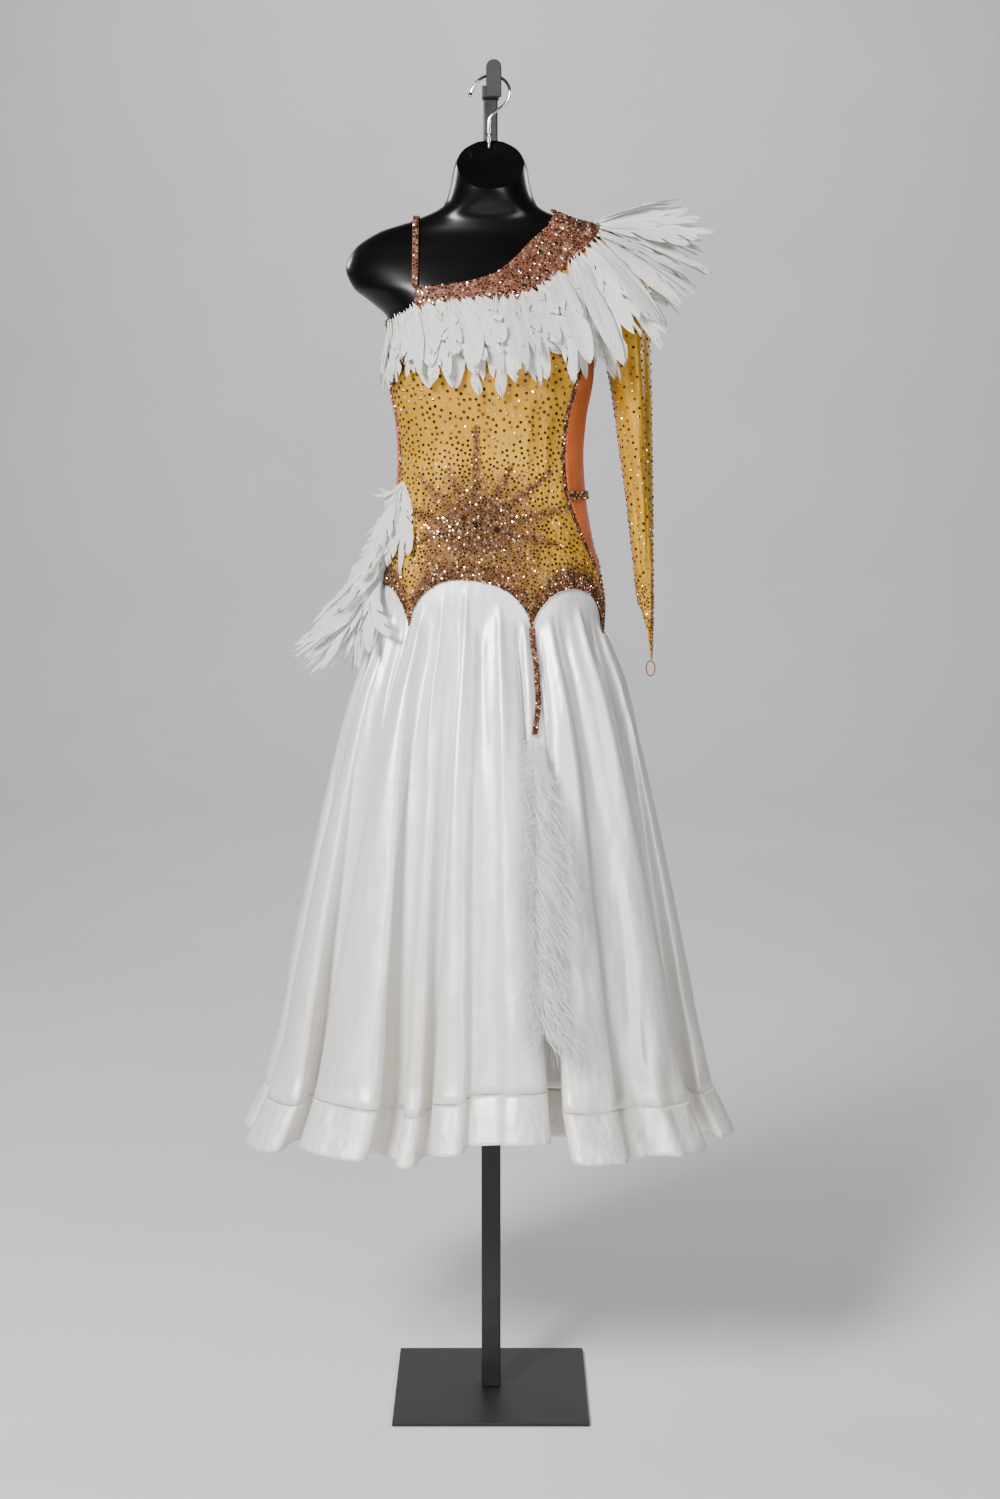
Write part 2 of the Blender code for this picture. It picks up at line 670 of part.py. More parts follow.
def build_drop_strip():
    """The stoned strip that hangs from the middle scallop point, over the gores' seam."""
    half = 0.0042
    rows_in, rows_out = [], []
    for down in (0.0, 0.12, 0.28, 0.45, 0.62, 0.80, 1.0):
        angle = SCALLOPS[1].angle - STRIP_DRIFT * down
        turn = math.radians(angle)
        across = Vector((math.cos(turn), math.sin(turn), 0.0))
        height = blend(STRIP_TOP, STRIP_LOW, down)
        share = skirt_share(angle, height)
        centre, normal = skirt_point(angle, share), seam_normal(angle, share)
        lift = CLOTH
        for near in (-2.4, -1.6, -0.8, 0.8, 1.6, 2.4):
            side = skirt_share(angle + near, height)
            beside = skirt_point(angle + near, side) + skirt_normal(angle + near, side) * CLOTH
            lift = max(lift, (beside - centre).dot(normal))
        foot = centre + normal * (lift + 0.0014)
        rows_in.append([foot - across * half, foot + across * half])
        rows_out.append([point + normal * 0.002 for point in rows_in[-1]])
    wall("drop_strip", rows_in, rows_out, "stoned_band")


def grid_normals(grid):
    """Vertex normals of a ring grid, whose rows join up."""
    rows, columns = len(grid), len(grid[0])
    normals = []
    for r in range(rows):
        row = []
        for c in range(columns):
            along = grid[r][(c + 1) % columns] - grid[r][c - 1]
            up = grid[min(r + 1, rows - 1)][c] - grid[max(r - 1, 0)][c]
            row.append(along.cross(up).normalized())
        normals.append(row)
    return normals


def armhole_loop():
    """The sleeve's seam line on the form, from the shoulder round the front to the back."""
    front = [(row.angle, row.height) for row in reversed(ARMHOLE)]
    front += [(69.0, 1.6505)]
    under = [(79.0, 1.6485), (88.0, 1.6480), (96.0, 1.6485)]
    back = [(180.0 - angle, height) for angle, height in reversed(front[1:])]
    back[0] = (104.0, 1.652)
    return front + under + back


def shrink(loop, centre, by):
    """Draw a loop of angle and height pairs a little towards its middle."""
    scale = (0.0028, 1.0)
    drawn = []
    for angle, height in loop:
        away = Vector(((angle - centre[0]) * scale[0], height - centre[1]))
        kept = away * (1 - by / away.length)
        drawn.append((centre[0] + kept.x / scale[0], centre[1] + kept.y))
    return drawn


def build_sleeve(form_tree):
    """One tube from the armhole over the shoulder's end and down, flat as an empty sleeve."""
    loop = shrink(armhole_loop(), (90.0, 1.712), 0.0011)
    rings = [[on_form(a, h, ease(h) + CLOTH) for a, h in loop]]
    sides = len(loop)
    for index, row in enumerate(SLEEVE_RINGS):
        inner = Vector((row.inner_x, 0.0, row.inner_z))
        outer = Vector((row.outer_x, 0.0, row.outer_z))
        middle, reach = (inner + outer) / 2, (outer - inner) / 2
        middle.y = (row.front + row.back) / 2
        deep = (row.back - row.front) / 2
        ring = []
        for i in range(sides):
            turn = 2 * math.pi * i / sides
            point = middle + reach * math.cos(turn) + Vector((0.0, -deep * math.sin(turn), 0.0))
            slant = ramp(index, len(SLEEVE_RINGS) - 4, len(SLEEVE_RINGS) - 1)
            outward = (1 + math.cos(turn)) / 2
            point.z += slant * (CUFF_RISE * (1 - outward) - CUFF_POINT * outward ** 3)
            ring.append(push_clear(form_tree, point, SHOULDER_EASE + CLOTH))
        rings.append(ring)
    normals = grid_normals(rings)
    if (normals[6][0]).x < 0:
        normals = [[-n for n in row] for row in normals]
    inside = [[p - n * CLOTH for p, n in zip(row, ns)] for row, ns in zip(rings, normals)]
    wall("sleeve", inside, rings, "gold_satin", ring=True)


def push_clear(tree, point, distance):
    """Move a point out of the form, or to a distance from its surface if it is nearer."""
    spot, normal, _, gap = tree.find_nearest(point)
    inside = (point - spot).dot(normal) < 0
    if inside or gap < distance:
        return spot + normal * distance
    return point


def tube(name, points, radii, sides, look_name, closed=False, across=Vector((0, 1, 0))):
    """A round rod along points in a plane, whose normal is across, with closed ends."""
    mesh = bmesh.new()
    rings = []
    count = len(points)
    for i, point in enumerate(points):
        if closed:
            ahead = points[(i + 1) % count] - points[i - 1]
        else:
            ahead = points[min(i + 1, count - 1)] - points[max(i - 1, 0)]
        side = ahead.normalized().cross(across).normalized()
        ring = []
        for k in range(sides):
            turn = 2 * math.pi * k / sides
            ring.append(mesh.verts.new(point + (side * math.cos(turn) + across * math.sin(turn))
                                       * radii[i]))
        rings.append(ring)
    spans = list(zip(rings, rings[1:]))
    if closed:
        spans.append((rings[-1], rings[0]))
    for first, second in spans:
        for k in range(sides):
            j = (k + 1) % sides
            mesh.faces.new((first[k], first[j], second[j], second[k]))
    if not closed:
        mesh.faces.new(rings[0])
        mesh.faces.new(list(reversed(rings[-1])))
    return add_object(name, mesh, look_name)


def build_finger_loop():
    """The elastic loop at the cuff's point."""
    centre = Vector((0.2405, -0.043, 1.1450))
    points = []
    for i in range(14):
        turn = 2 * math.pi * i / 14
        points.append(centre + Vector((0.0065 * math.sin(turn), 0.0, 0.0115 * math.cos(turn))))
    tube("finger_loop", points, [0.0011] * 14, 6, "copper_elastic", closed=True)


class Trim:
    """A backing strip whose cells grow flat tapered feathers."""

    def __init__(self):
        self.mesh = bmesh.new()
        self.rings = []
        self.faces = {}

    def strip(self, stations):
        """Lay the backing through stations, each of four corners in order."""
        for corners in stations:
            self.rings.append([self.mesh.verts.new(point) for point in corners])
        for cell, (here, after) in enumerate(zip(self.rings, self.rings[1:])):
            for side in range(4):
                other = (side + 1) % 4
                self.faces[cell, side] = (here[side], here[other], after[other], after[side])

    def feather(self, cell, side, centres, across, up, widths, thickness):
        """Grow a blade from one side of a cell through its centres, ending in a blunt tip."""
        last = self.faces.pop((cell, side))
        corners = self.rings[cell] + self.rings[cell + 1]
        facing = self.middle(last) - self.middle(corners)
        for centre, a, u, w, t in zip(centres, across, up, widths, thickness):
            ahead = centre - self.middle(last)
            ring = self.square(last, facing.rotation_difference(ahead), centre, a * w, u * t)
            self.join(last, ring)
            last, facing = ring, ahead
        self.mesh.faces.new(last)

    def middle(self, ring):
        return sum((v.co for v in ring), Vector()) / len(ring)

    def square(self, behind, turning, centre, across, up):
        """Four corners round a centre, in the order that continues the turned ring behind."""
        corners = [centre + (across * sx + up * sy) / 2
                   for sx, sy in ((-1, -1), (1, -1), (1, 1), (-1, 1))]
        flips = [corners, list(reversed(corners))]
        turns = [flip[k:] + flip[:k] for flip in flips for k in range(4)]
        middle = self.middle(behind)
        best = max(turns, key=lambda turn: sum((turning @ (v.co - middle)).dot(p - centre)
                                               for v, p in zip(behind, turn)))
        return [self.mesh.verts.new(point) for point in best]

    def join(self, first, second):
        for k in range(4):
            j = (k + 1) % 4
            self.mesh.faces.new((first[k], first[j], second[j], second[k]))

    def finish(self, name):
        for face in self.faces.values():
            self.mesh.faces.new(face)
        self.mesh.faces.new(self.rings[0])
        self.mesh.faces.new(list(reversed(self.rings[-1])))
        add_object(name, self.mesh, "feather_white")


def wave(index, rate, phase=0.0):
    """An uneven number from -1 to 1 that follows from an index."""
    return math.sin(index * rate + phase) * 0.6 + math.sin(index * rate * 2.37 + 1.3 + phase) * 0.4


BLADE_STATIONS = (0.14, 0.58, 1.0)
BLADE_WIDTHS = (0.58, 1.0, 0.20)
BLADE_THICKNESS = (0.0018, 0.0015, 0.0009)


def neckline_slant(share):
    """How far the feathers lean out from straight down, to hang square to the neckline."""
    reach, metres_per_degree = 0.10, 0.0028
    first, last = band_edges(max(share - reach, 0.0))[0], band_edges(min(share + reach, 1.0))[0]
    slope = math.atan2(last[1] - first[1], (last[0] - first[0]) * metres_per_degree)
    return math.degrees(slope) * 0.9 - 12.0 * (1 - ramp(share, 0.0, 0.35))


def trim_strip(trim, shares, mirror):
    """The backing along the neck band's lower edge, over the bodice."""
    stations = []
    for share in shares:
        (angle, height), _ = band_edges(share)
        if mirror:
            angle = 180.0 - angle
        low, high = height - 0.0085, height - 0.0035
        under = ease(height) + CLOTH + 0.0009
        over = under + 0.0030
        stations.append([on_form(angle, high, under), on_form(angle, high, over),
                         on_form(angle, low, over), on_form(angle, low, under)])
    trim.strip(stations)


def hanging_feather(trim, cell, layer, root, length, slant, width, stand, mirror):
    """A blade that hangs over the bodice: layer 2 is the lower face, layer 1 the outer one."""
    angle, height = root
    centres, across, up = [], [], []
    drift = slant * (-1.0 if mirror else 1.0)
    for share in BLADE_STATIONS:
        run = length * share
        h = height - 0.006 - run * math.cos(math.radians(slant))
        a = angle + run * math.sin(math.radians(drift)) / 0.0030
        off = ease(h) + CLOTH + (0.0026 if layer == 2 else 0.0066) + stand * share
        centres.append(on_form(a, h, off))
        normal = normal_of(form_point, a, h, 1.5, 0.004)
        up.append(normal)
    last = len(centres) - 1
    for i in range(last + 1):
        ahead = centres[min(i + 1, last)] - centres[max(i - 1, 0)]
        across.append(ahead.cross(up[i]).normalized())
        up[i] = across[i].cross(ahead).normalized()
    widths = [width * w for w in BLADE_WIDTHS]
    trim.feather(cell, layer, centres, across, up, widths, BLADE_THICKNESS)


def flying_feather(trim, cell, layer, start, direction, length, droop, width, lay=0.0):
    """A blade that stands free of the body and droops: lay turns its width along the backing."""
    centres = []
    for share in BLADE_STATIONS:
        centres.append(start + direction * length * share + Vector((0, 0, -droop * share ** 2)))
    backing = (trim.rings[cell + 1][0].co - trim.rings[cell][0].co).normalized()
    across, up = [], []
    last = len(centres) - 1
    for i in range(last + 1):
        ahead = (centres[min(i + 1, last)] - centres[max(i - 1, 0)]).normalized()
        level = ahead.cross(Vector((0, 0, 1))).normalized()
        along = (backing - ahead * backing.dot(ahead)).normalized()
        if along.dot(level) < 0:
            along = -along
        side = level.lerp(along, lay).normalized()
        across.append(side)
        up.append(side.cross(ahead).normalized())
    widths = [width * w for w in BLADE_WIDTHS]
    trim.feather(cell, layer, centres, across, up, widths, BLADE_THICKNESS)


FRONT_TRIM_END = 0.55     # share of the neck band where the front trim hands over to the shoulder
FRONT_CELLS = 26
SHOULDER_CELLS = 22


def build_hanging_trim(name, mirror):
    """The feathers below the neck band, on the chest or on the back."""
    trim = Trim()
    shares = [FRONT_TRIM_END * i / FRONT_CELLS for i in range(FRONT_CELLS + 1)]
    trim_strip(trim, shares, mirror)
    for cell in range(FRONT_CELLS):
        share = (shares[cell] + shares[cell + 1]) / 2
        (angle, height), _ = band_edges(share)
        along = cell / (FRONT_CELLS - 1)
        lower = cell % 2 == 0
        length = (0.092 if lower else 0.070) + 0.014 * wave(cell, 1.7) + 0.020 * along
        slant = neckline_slant(share)
        if mirror:
            angle, length = 180.0 - angle, length * 0.95
        stand = 0.003 if lower else 0.014
        hanging_feather(trim, cell, 2 if lower else 1, (angle, height), length, slant,
                        0.0125, stand, mirror)
    trim.finish(name)


def build_shoulder_trim():
    """The feathers that sweep out over the sleeve, from the chest round to the back."""
    trim = Trim()
    start, end = FRONT_TRIM_END + 0.012, 2.0 - FRONT_TRIM_END - 0.012
    stations = []
    for i in range(SHOULDER_CELLS + 1):
        share = start + (end - start) * i / SHOULDER_CELLS
        behind = share > 1.0
        (angle, height), _ = band_edges(2.0 - share if behind else share)
        if behind:
            angle = 180.0 - angle
        low, high = height - 0.0075, height - 0.0030
        under = ease(height) + CLOTH + 0.0010
        over = under + 0.0036
        stations.append([on_form(angle, high, under), on_form(angle, high, over),
                         on_form(angle, low, over), on_form(angle, low, under)])
    trim.strip(stations)
    for cell in range(SHOULDER_CELLS):
        along = (cell + 0.5) / SHOULDER_CELLS
        fan = math.radians(blend(28.0, 152.0, along) + 2.0 * wave(cell, 2.1))
        flat = Vector((math.sin(fan), -math.cos(fan), 0.0))
        edge = abs(2 * along - 1)
        side = (1, 2)[cell % 2]
        tilt = math.radians(23.0 if side == 1 else 2.0) + 0.05 * wave(cell, 1.3)
        tilt -= math.radians(24.0) * edge ** 2
        direction = flat * math.cos(tilt) + Vector((0, 0, math.sin(tilt)))
        corners = trim.faces[cell, side]
        start_point = sum((v.co for v in corners), Vector()) / 4
        length = (0.150 if side == 1 else 0.165) * (1 - 0.22 * edge) + 0.014 * wave(cell, 3.1)
        droop = (0.030 if side == 1 else 0.050) + 0.030 * edge
        flying_feather(trim, cell, side, start_point, direction, length, droop, 0.0165, 1.0)
    trim.finish("feather_trim_shoulder")


def build_hip_feathers():
    """The cluster that falls from the waist over the bare side's hip, the top ones outermost."""
    cells = 13
    trim = Trim()
    stations = []
    for i in range(cells + 1):
        height = 1.412 - 0.095 * i / cells
        angle = blend(-66.0, -76.0, i / cells)
        under = ease(height) + CLOTH + 0.0012
        over = under + 0.003
        half = 1.4
        stations.append([on_form(angle + half, height, under), on_form(angle + half, height, over),
                         on_form(angle - half, height, over), on_form(angle - half, height, under)])
    trim.strip(stations)
    for cell in range(cells):
        along = cell / (cells - 1)
        fan = math.radians(-60.0 + 17.0 * wave(cell, 2.3))
        fall = math.radians(blend(54.0, 66.0, along))
        flat = Vector((math.sin(fan), -math.cos(fan), 0.0))
        direction = flat * math.cos(fall) + Vector((0, 0, -math.sin(fall)))
        corners = trim.faces[cell, 1]
        start_point = sum((v.co for v in corners), Vector()) / 4 + flat * blend(0.016, 0.003, along)
        length = blend(0.270, 0.175, along) + 0.010 * wave(cell, 1.1)
        flying_feather(trim, cell, 1, start_point, direction, length, 0.020, 0.013)
    trim.finish("hip_feathers")


def build_plume():
    """The ostrich plume below the stoned strip: a spine with drooping strands each side."""
    cells = 18
    top, bottom = 1.056, 0.655
    trim = Trim()
    stations = []
    for i in range(cells + 1):
        share = i / cells
        height = blend(top, bottom, share)
        x = blend(0.058, 0.077, share)
        half, deep = 0.0016, 0.0022
        sewn = skirt_point(SCALLOPS[1].angle, skirt_share(SCALLOPS[1].angle, height)).y
        y = plume_depth(height) if i else sewn - CLOTH - deep - 0.0018
        stations.append([Vector((x - half, y + deep, height)), Vector((x - half, y, height)),
                         Vector((x + half, y, height)), Vector((x + half, y + deep, height))])
    trim.strip(stations)
    for cell in range(1, cells):
        share = cell / (cells - 1)
        reach = 0.030 + 0.016 * math.sin(math.pi * min(share * 1.15, 1.0))
        for side, way in ((0, -1.0), (2, 1.0)):
            corners = trim.faces[cell, side]
            start_point = sum((v.co for v in corners), Vector()) / 4
            lift = 0.10 * wave(cell, 1.7, way)
            direction = Vector((way * 0.80, -0.30 + lift, -0.50)).normalized()
            length = reach * (1.1 + 0.25 * wave(cell, 2.7, way))
            flying_feather(trim, cell, side, start_point, direction, length, 0.020, 0.0052)
    trim.finish("plume")


def plume_depth(height):
    """How far forward the plume hangs, just outside the skirt's nearest fold."""
    nearest = 0.0
    for angle in range(0, 30, 2):
        nearest = min(nearest, skirt_point(angle, skirt_share(angle, height)).y)
    return nearest - 0.006 - 0.008 * min((1.056 - height) / 0.1, 1.0)


# Large stones at the sunburst's middle: place on the front, and width
Stone = namedtuple("Stone", "angle height radius")
STAR_STONES = [
    Stone(-6.0, 1.360, 0.0075),
    Stone(-13.0, 1.371, 0.0055),
    Stone(-1.0, 1.374, 0.0055),
    Stone(-15.0, 1.352, 0.0060),
    Stone(2.5, 1.354, 0.0060),
    Stone(-10.0, 1.341, 0.0050),
    Stone(-2.0, 1.339, 0.0055),
    Stone(8.5, 1.347, 0.0045),
    Stone(-21.5, 1.347, 0.0045),
]


def build_star_stones():
    """Cut stones with a flat table, seated on the front panel."""
    sides = 6
    for index, stone in enumerate(STAR_STONES):
        out = normal_of(form_point, stone.angle, stone.height, 1.5, 0.004)
        foot = on_form(stone.angle, stone.height, EASE + CLOTH + 0.0010)
        across = Vector((1, 0, 0)).cross(out).normalized()
        up = out.cross(across)
        mesh = bmesh.new()
        rings = []
        for share, lift in ((0.86, 0.0), (1.0, 0.0014), (0.55, 0.0036)):
            ring = []
            for k in range(sides):
                turn = 2 * math.pi * (k + 0.5) / sides
                flat = across * math.cos(turn) + up * math.sin(turn)
                ring.append(mesh.verts.new(foot + flat * stone.radius * share + out * lift))
            rings.append(ring)
        for low, high in zip(rings, rings[1:]):
            for k in range(sides):
                j = (k + 1) % sides
                mesh.faces.new((low[k], low[j], high[j], high[k]))
        mesh.faces.new(rings[0])
        mesh.faces.new(list(reversed(rings[-1])))
        add_object(f"star_stone_{index + 1}", mesh, "topaz_stone")


def form_mesh():
    """The torso as rings of its sections, closed at the bottom and rounded in at the neck."""
    heights = [row.height for row in FORM_SECTIONS]
    fine = []
    for low, high in zip(heights, heights[1:]):
        parts = max(1, math.ceil((high - low) / 0.060))
        fine += [low + (high - low) * i / parts for i in range(parts)]
    fine.append(heights[-1])
    mesh = bmesh.new()
    rings = [[mesh.verts.new(form_point(360.0 * k / FORM_SIDES, height))
              for k in range(FORM_SIDES)] for height in fine]
    for low, high in zip(rings, rings[1:]):
        for k in range(FORM_SIDES):
            j = (k + 1) % FORM_SIDES
            mesh.faces.new((low[k], low[j], high[j], high[k]))
    mesh.faces.new(rings[0])
    crown = mesh.verts.new(FORM_TOP)
    for k in range(FORM_SIDES):
        mesh.faces.new((rings[-1][k], rings[-1][(k + 1) % FORM_SIDES], crown))
    bmesh.ops.recalc_face_normals(mesh, faces=mesh.faces)
    return mesh


def box_cutter(name, low, high):
    """A box that only cuts."""
    mesh = bmesh.new()
    bmesh.ops.create_cube(mesh, size=1.0)
    low, high = Vector(low), Vector(high)
    for vert in mesh.verts:
        vert.co = Vector([low[i] + (vert.co[i] + 0.5) * (high[i] - low[i]) for i in range(3)])
    made = add_object(name, mesh, "form_black")
    made.hide_render = True
    made.display_type = "WIRE"
    return made


def rod_cutter(name, x, y, low, high, radius):
    """An upright round rod that only cuts."""
    made = tube(name, [Vector((x, y, low)), Vector((x, y, high))], [radius] * 2, 12, "form_black")
    made.hide_render = True
    made.display_type = "WIRE"
    return made


def cut(target, cutter):
    modifier = target.modifiers.new(cutter.name, "BOOLEAN")
    modifier.operation = "DIFFERENCE"
    modifier.solver = "EXACT"
    modifier.object = cutter


def build_form():
    """The torso with its slanted neck face, the pole's groove and the hook's hole."""
    mesh = form_mesh()
    lean = math.radians(NECK_FACE_LEAN)
    normal = Vector((0.0, -math.sin(lean), math.cos(lean)))
    parts = mesh.verts[:] + mesh.edges[:] + mesh.faces[:]
    bmesh.ops.bisect_plane(mesh, geom=parts, dist=0.00001, plane_co=NECK_LIP, plane_no=normal,
                           clear_outer=True)
    rim = [edge for edge in mesh.edges if edge.is_boundary]
    bmesh.ops.contextual_create(mesh, geom=rim)
    form = add_object("torso_form", mesh, "form_black")
    room = 0.0015
    half = UPPER_POLE_SIDE / 2 + room
    cut(form, box_cutter("pole_groove", (-half, -half, FORM_BOTTOM - 0.05), (half, 0.2, 1.98)))
    cut(form, rod_cutter("hook_hole", HOOK_X, HOOK_Y, 1.880, 1.960, HOOK_RADIUS + 0.0004))


HOOK_X = -0.002
HookPoint = namedtuple("HookPoint", "x height")
HOOK_PATH = [
    HookPoint(-0.002, 1.885),
    HookPoint(-0.002, 1.920),
    HookPoint(-0.002, 1.944),
    HookPoint(0.001, 1.954),
    HookPoint(0.009, 1.961),
    HookPoint(0.019, 1.968),
    HookPoint(0.026, 1.977),
    HookPoint(0.0285, 1.986),
    HookPoint(0.0265, 1.996),
    HookPoint(0.020, 2.0045),
    HookPoint(0.010, 2.0095),
    HookPoint(0.000, 2.0110),
    HookPoint(-0.011, 2.0080),
    HookPoint(-0.020, 2.0010),
    HookPoint(-0.026, 1.992),
    HookPoint(-0.0295, 1.983),
    HookPoint(-0.0302, 1.9795),
]


def build_hook():
    points = [Vector((row.x, HOOK_Y, row.height)) for row in HOOK_PATH]
    radii = [HOOK_RADIUS] * (len(points) - 2) + [HOOK_RADIUS * 1.55, HOOK_RADIUS * 1.1]
    tube("hook", points, radii, 8, "chrome")


def block(name, low, high, look_name):
    mesh = bmesh.new()
    bmesh.ops.create_cube(mesh, size=1.0)
    low, high = Vector(low), Vector(high)
    for vert in mesh.verts:
        vert.co = Vector([low[i] + (vert.co[i] + 0.5) * (high[i] - low[i]) for i in range(3)])
    return add_object(name, mesh, look_name)


def bevel(target, width, segments=2):
    modifier = target.modifiers.new("edge", "BEVEL")
    modifier.width = width
    modifier.segments = segments
    modifier.limit_method = "ANGLE"


def build_stand():
    half = BASE_SIDE / 2
    plate = block("base_plate", (-half, -half, 0.0), (half, half, BASE_THICKNESS), "stand_black")
    bevel(plate, 0.0012)
    side = LOWER_POLE_SIDE / 2
    lower = block("pole_lower", (-side, -side, BASE_THICKNESS + SEAM), (side, side, LOWER_POLE_TOP),
                  "stand_black")
    bevel(lower, 0.003)
    side = UPPER_POLE_SIDE / 2
    upper = block("pole_upper", (-side, -side, LOWER_POLE_TOP + SEAM), (side, side, UPPER_POLE_TOP),
                  "stand_black")
    bevel(upper, 0.003)


def build_bracket():
    """The cap on the pole's top, the peg that the hook hangs on, and the stop in front of it."""
    cap = 0.0130
    bevel(block("pole_cap", (-cap, -cap, UPPER_POLE_TOP + SEAM), (cap, cap, 2.0035),
                "stand_black"), 0.002)
    stop_back = HOOK_Y - 0.012
    peg_x, peg_half = 0.003, 0.0050
    bevel(block("hook_peg", (peg_x - peg_half, stop_back, 1.9900),
                (peg_x + peg_half, -cap - SEAM, 2.0076), "stand_black"), 0.001)
    stop_x, half, thick, foot, top = 0.005, 0.0112, 0.006, 1.978, 2.031
    mesh = bmesh.new()
    outline = [(stop_x - half, foot), (stop_x + half, foot)]
    for i in range(9):
        turn = math.pi * i / 8
        outline.append((stop_x + half * math.cos(turn), top - half + half * math.sin(turn)))
    sides = [[mesh.verts.new(Vector((x, y, z))) for x, z in outline]
             for y in (stop_back - SEAM, stop_back - SEAM - thick)]
    count = len(outline)
    for k in range(count):
        j = (k + 1) % count
        mesh.faces.new((sides[0][k], sides[0][j], sides[1][j], sides[1][k]))
    mesh.faces.new(sides[0])
    mesh.faces.new(list(reversed(sides[1])))
    bevel(add_object("peg_stop", mesh, "stand_black"), 0.001, 1)


def main():
    clear_scene()
    build_form()
    guide = form_mesh()
    tree = BVHTree.FromBMesh(guide)
    guide.free()
    build_hook()
    build_stand()
    build_bracket()
    build_bodice()
    build_side_mesh("side_mesh_right", 1)
    build_side_mesh("side_mesh_left", -1)
    build_neck_band()
    build_strap(tree)
    build_belt_tabs()
    build_sleeve(tree)
    build_finger_loop()
    build_skirt()
    build_drop_strip()
    build_hanging_trim("feather_trim_front", False)
    build_hanging_trim("feather_trim_back", True)
    build_shoulder_trim()
    build_hip_feathers()
    build_plume()
    build_star_stones()


main()
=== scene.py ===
# %% [markdown]
# # A one-shouldered dance dress on a torso form
#
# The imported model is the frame. It holds the dress as plain solids: bodice panels, mesh inserts,
# gores, hem bands, feather trims and the form on its stand. Each step below makes the real
# surface of one of them in the same metres, with +Z up and the dress facing -Y.

# %%
import bisect
import math
import random
from collections import namedtuple

import bmesh
import bpy
import numpy as np
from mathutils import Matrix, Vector
from mathutils.bvhtree import BVHTree


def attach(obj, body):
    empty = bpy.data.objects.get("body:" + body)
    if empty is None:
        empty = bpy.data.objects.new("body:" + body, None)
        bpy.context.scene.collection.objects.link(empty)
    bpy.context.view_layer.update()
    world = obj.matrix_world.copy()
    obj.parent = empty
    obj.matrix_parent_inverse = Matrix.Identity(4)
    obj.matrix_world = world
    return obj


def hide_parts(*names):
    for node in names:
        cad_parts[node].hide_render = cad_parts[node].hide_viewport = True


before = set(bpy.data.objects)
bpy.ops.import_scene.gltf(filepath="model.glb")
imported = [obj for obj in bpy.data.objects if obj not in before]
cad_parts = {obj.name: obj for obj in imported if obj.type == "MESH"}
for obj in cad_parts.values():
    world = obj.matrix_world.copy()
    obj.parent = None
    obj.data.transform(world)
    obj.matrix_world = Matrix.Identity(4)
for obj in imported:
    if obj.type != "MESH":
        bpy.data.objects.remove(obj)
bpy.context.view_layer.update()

# %% [markdown]
# ## Camera, floor and light
#
# The camera stands 3.4 m in front of the stand at chest height and looks down by almost seven
# degrees, as the photograph was taken. The floor runs up into a wall in one sweep, so that it
# has no corner, and the wall is far enough away to look at the dress from behind. The key light
# is left of the camera, so that a fold is bright where it faces that way and dark where it turns
# from it. A weaker one fills in from the right, two small ones from behind give the black form
# its edges, and a large one lights the wall. Satin's folds are only visible as changes of
# brightness, so the even light of the world stays low.

# %%
PHOTO_FOCAL_PIXELS = 2242
PHOTO_HEIGHT_PIXELS = 1499

camera_data = bpy.data.cameras.new("photo_camera")
camera_data.sensor_width = 36.0
camera_data.lens = 36.0 * PHOTO_FOCAL_PIXELS / PHOTO_HEIGHT_PIXELS
camera = bpy.data.objects.new("photo_camera", camera_data)
camera.location = (0.014, -3.407, 1.419)
camera.rotation_euler = (math.radians(90.0 - 6.73), 0.0, 0.0)
bpy.context.collection.objects.link(camera)
bpy.context.scene.camera = camera

# %%
bpy.ops.mesh.primitive_grid_add(x_subdivisions=2, y_subdivisions=90, size=34.0)
floor = bpy.context.active_object
floor.name = "floor"
SWEEP_START, SWEEP_RADIUS = 6.4, 2.6
for vert in floor.data.vertices:
    run = vert.co.y - SWEEP_START
    turn = min(max(run / SWEEP_RADIUS, 0.0), math.pi / 2)
    if run > 0:
        vert.co.y = SWEEP_START + SWEEP_RADIUS * math.sin(turn)
        vert.co.z = SWEEP_RADIUS * (1 - math.cos(turn)) + max(run - SWEEP_RADIUS * math.pi / 2, 0.0)
bpy.ops.object.shade_smooth()
print("floor", len(floor.data.vertices), "points")

# %%
def soft_light(name, place, aim, width, power, colour=(1.0, 1.0, 1.0)):
    """A square area light that looks at a point."""
    data = bpy.data.lights.new(name, "AREA")
    data.shape = "SQUARE"
    data.size = width
    data.energy = power
    data.color = colour
    made = bpy.data.objects.new(name, data)
    made.location = place
    made.rotation_euler = (Vector(aim) - Vector(place)).to_track_quat("-Z", "Y").to_euler()
    bpy.context.collection.objects.link(made)
    return made


soft_light("key", (-1.8, -3.1, 3.0), (0.0, 0.0, 1.0), 1.0, 310.0)
soft_light("fill", (1.6, -3.6, 1.7), (0.0, 0.0, 1.0), 1.2, 52.0)
soft_light("rim_left", (-2.2, 2.0, 2.6), (0.0, 0.0, 1.3), 0.8, 32.0)
soft_light("rim_right", (2.2, 2.2, 2.4), (0.0, 0.0, 1.2), 0.8, 32.0)
soft_light("backdrop", (0.0, 4.2, 5.2), (0.0, 8.6, 1.2), 2.6, 230.0)
world = bpy.context.scene.world or bpy.data.worlds.new("studio")
bpy.context.scene.world = world
world.use_nodes = True
world.node_tree.nodes["Background"].inputs["Color"].default_value = (0.80, 0.82, 0.85, 1.0)
world.node_tree.nodes["Background"].inputs["Strength"].default_value = 0.09

# %% [markdown]
# ## Writing shader maths as plain sums
#
# A socket wrapped in this class can be added and scaled like a number, and each sum makes its
# own Math node. Any other node is reached through one method, `node`.

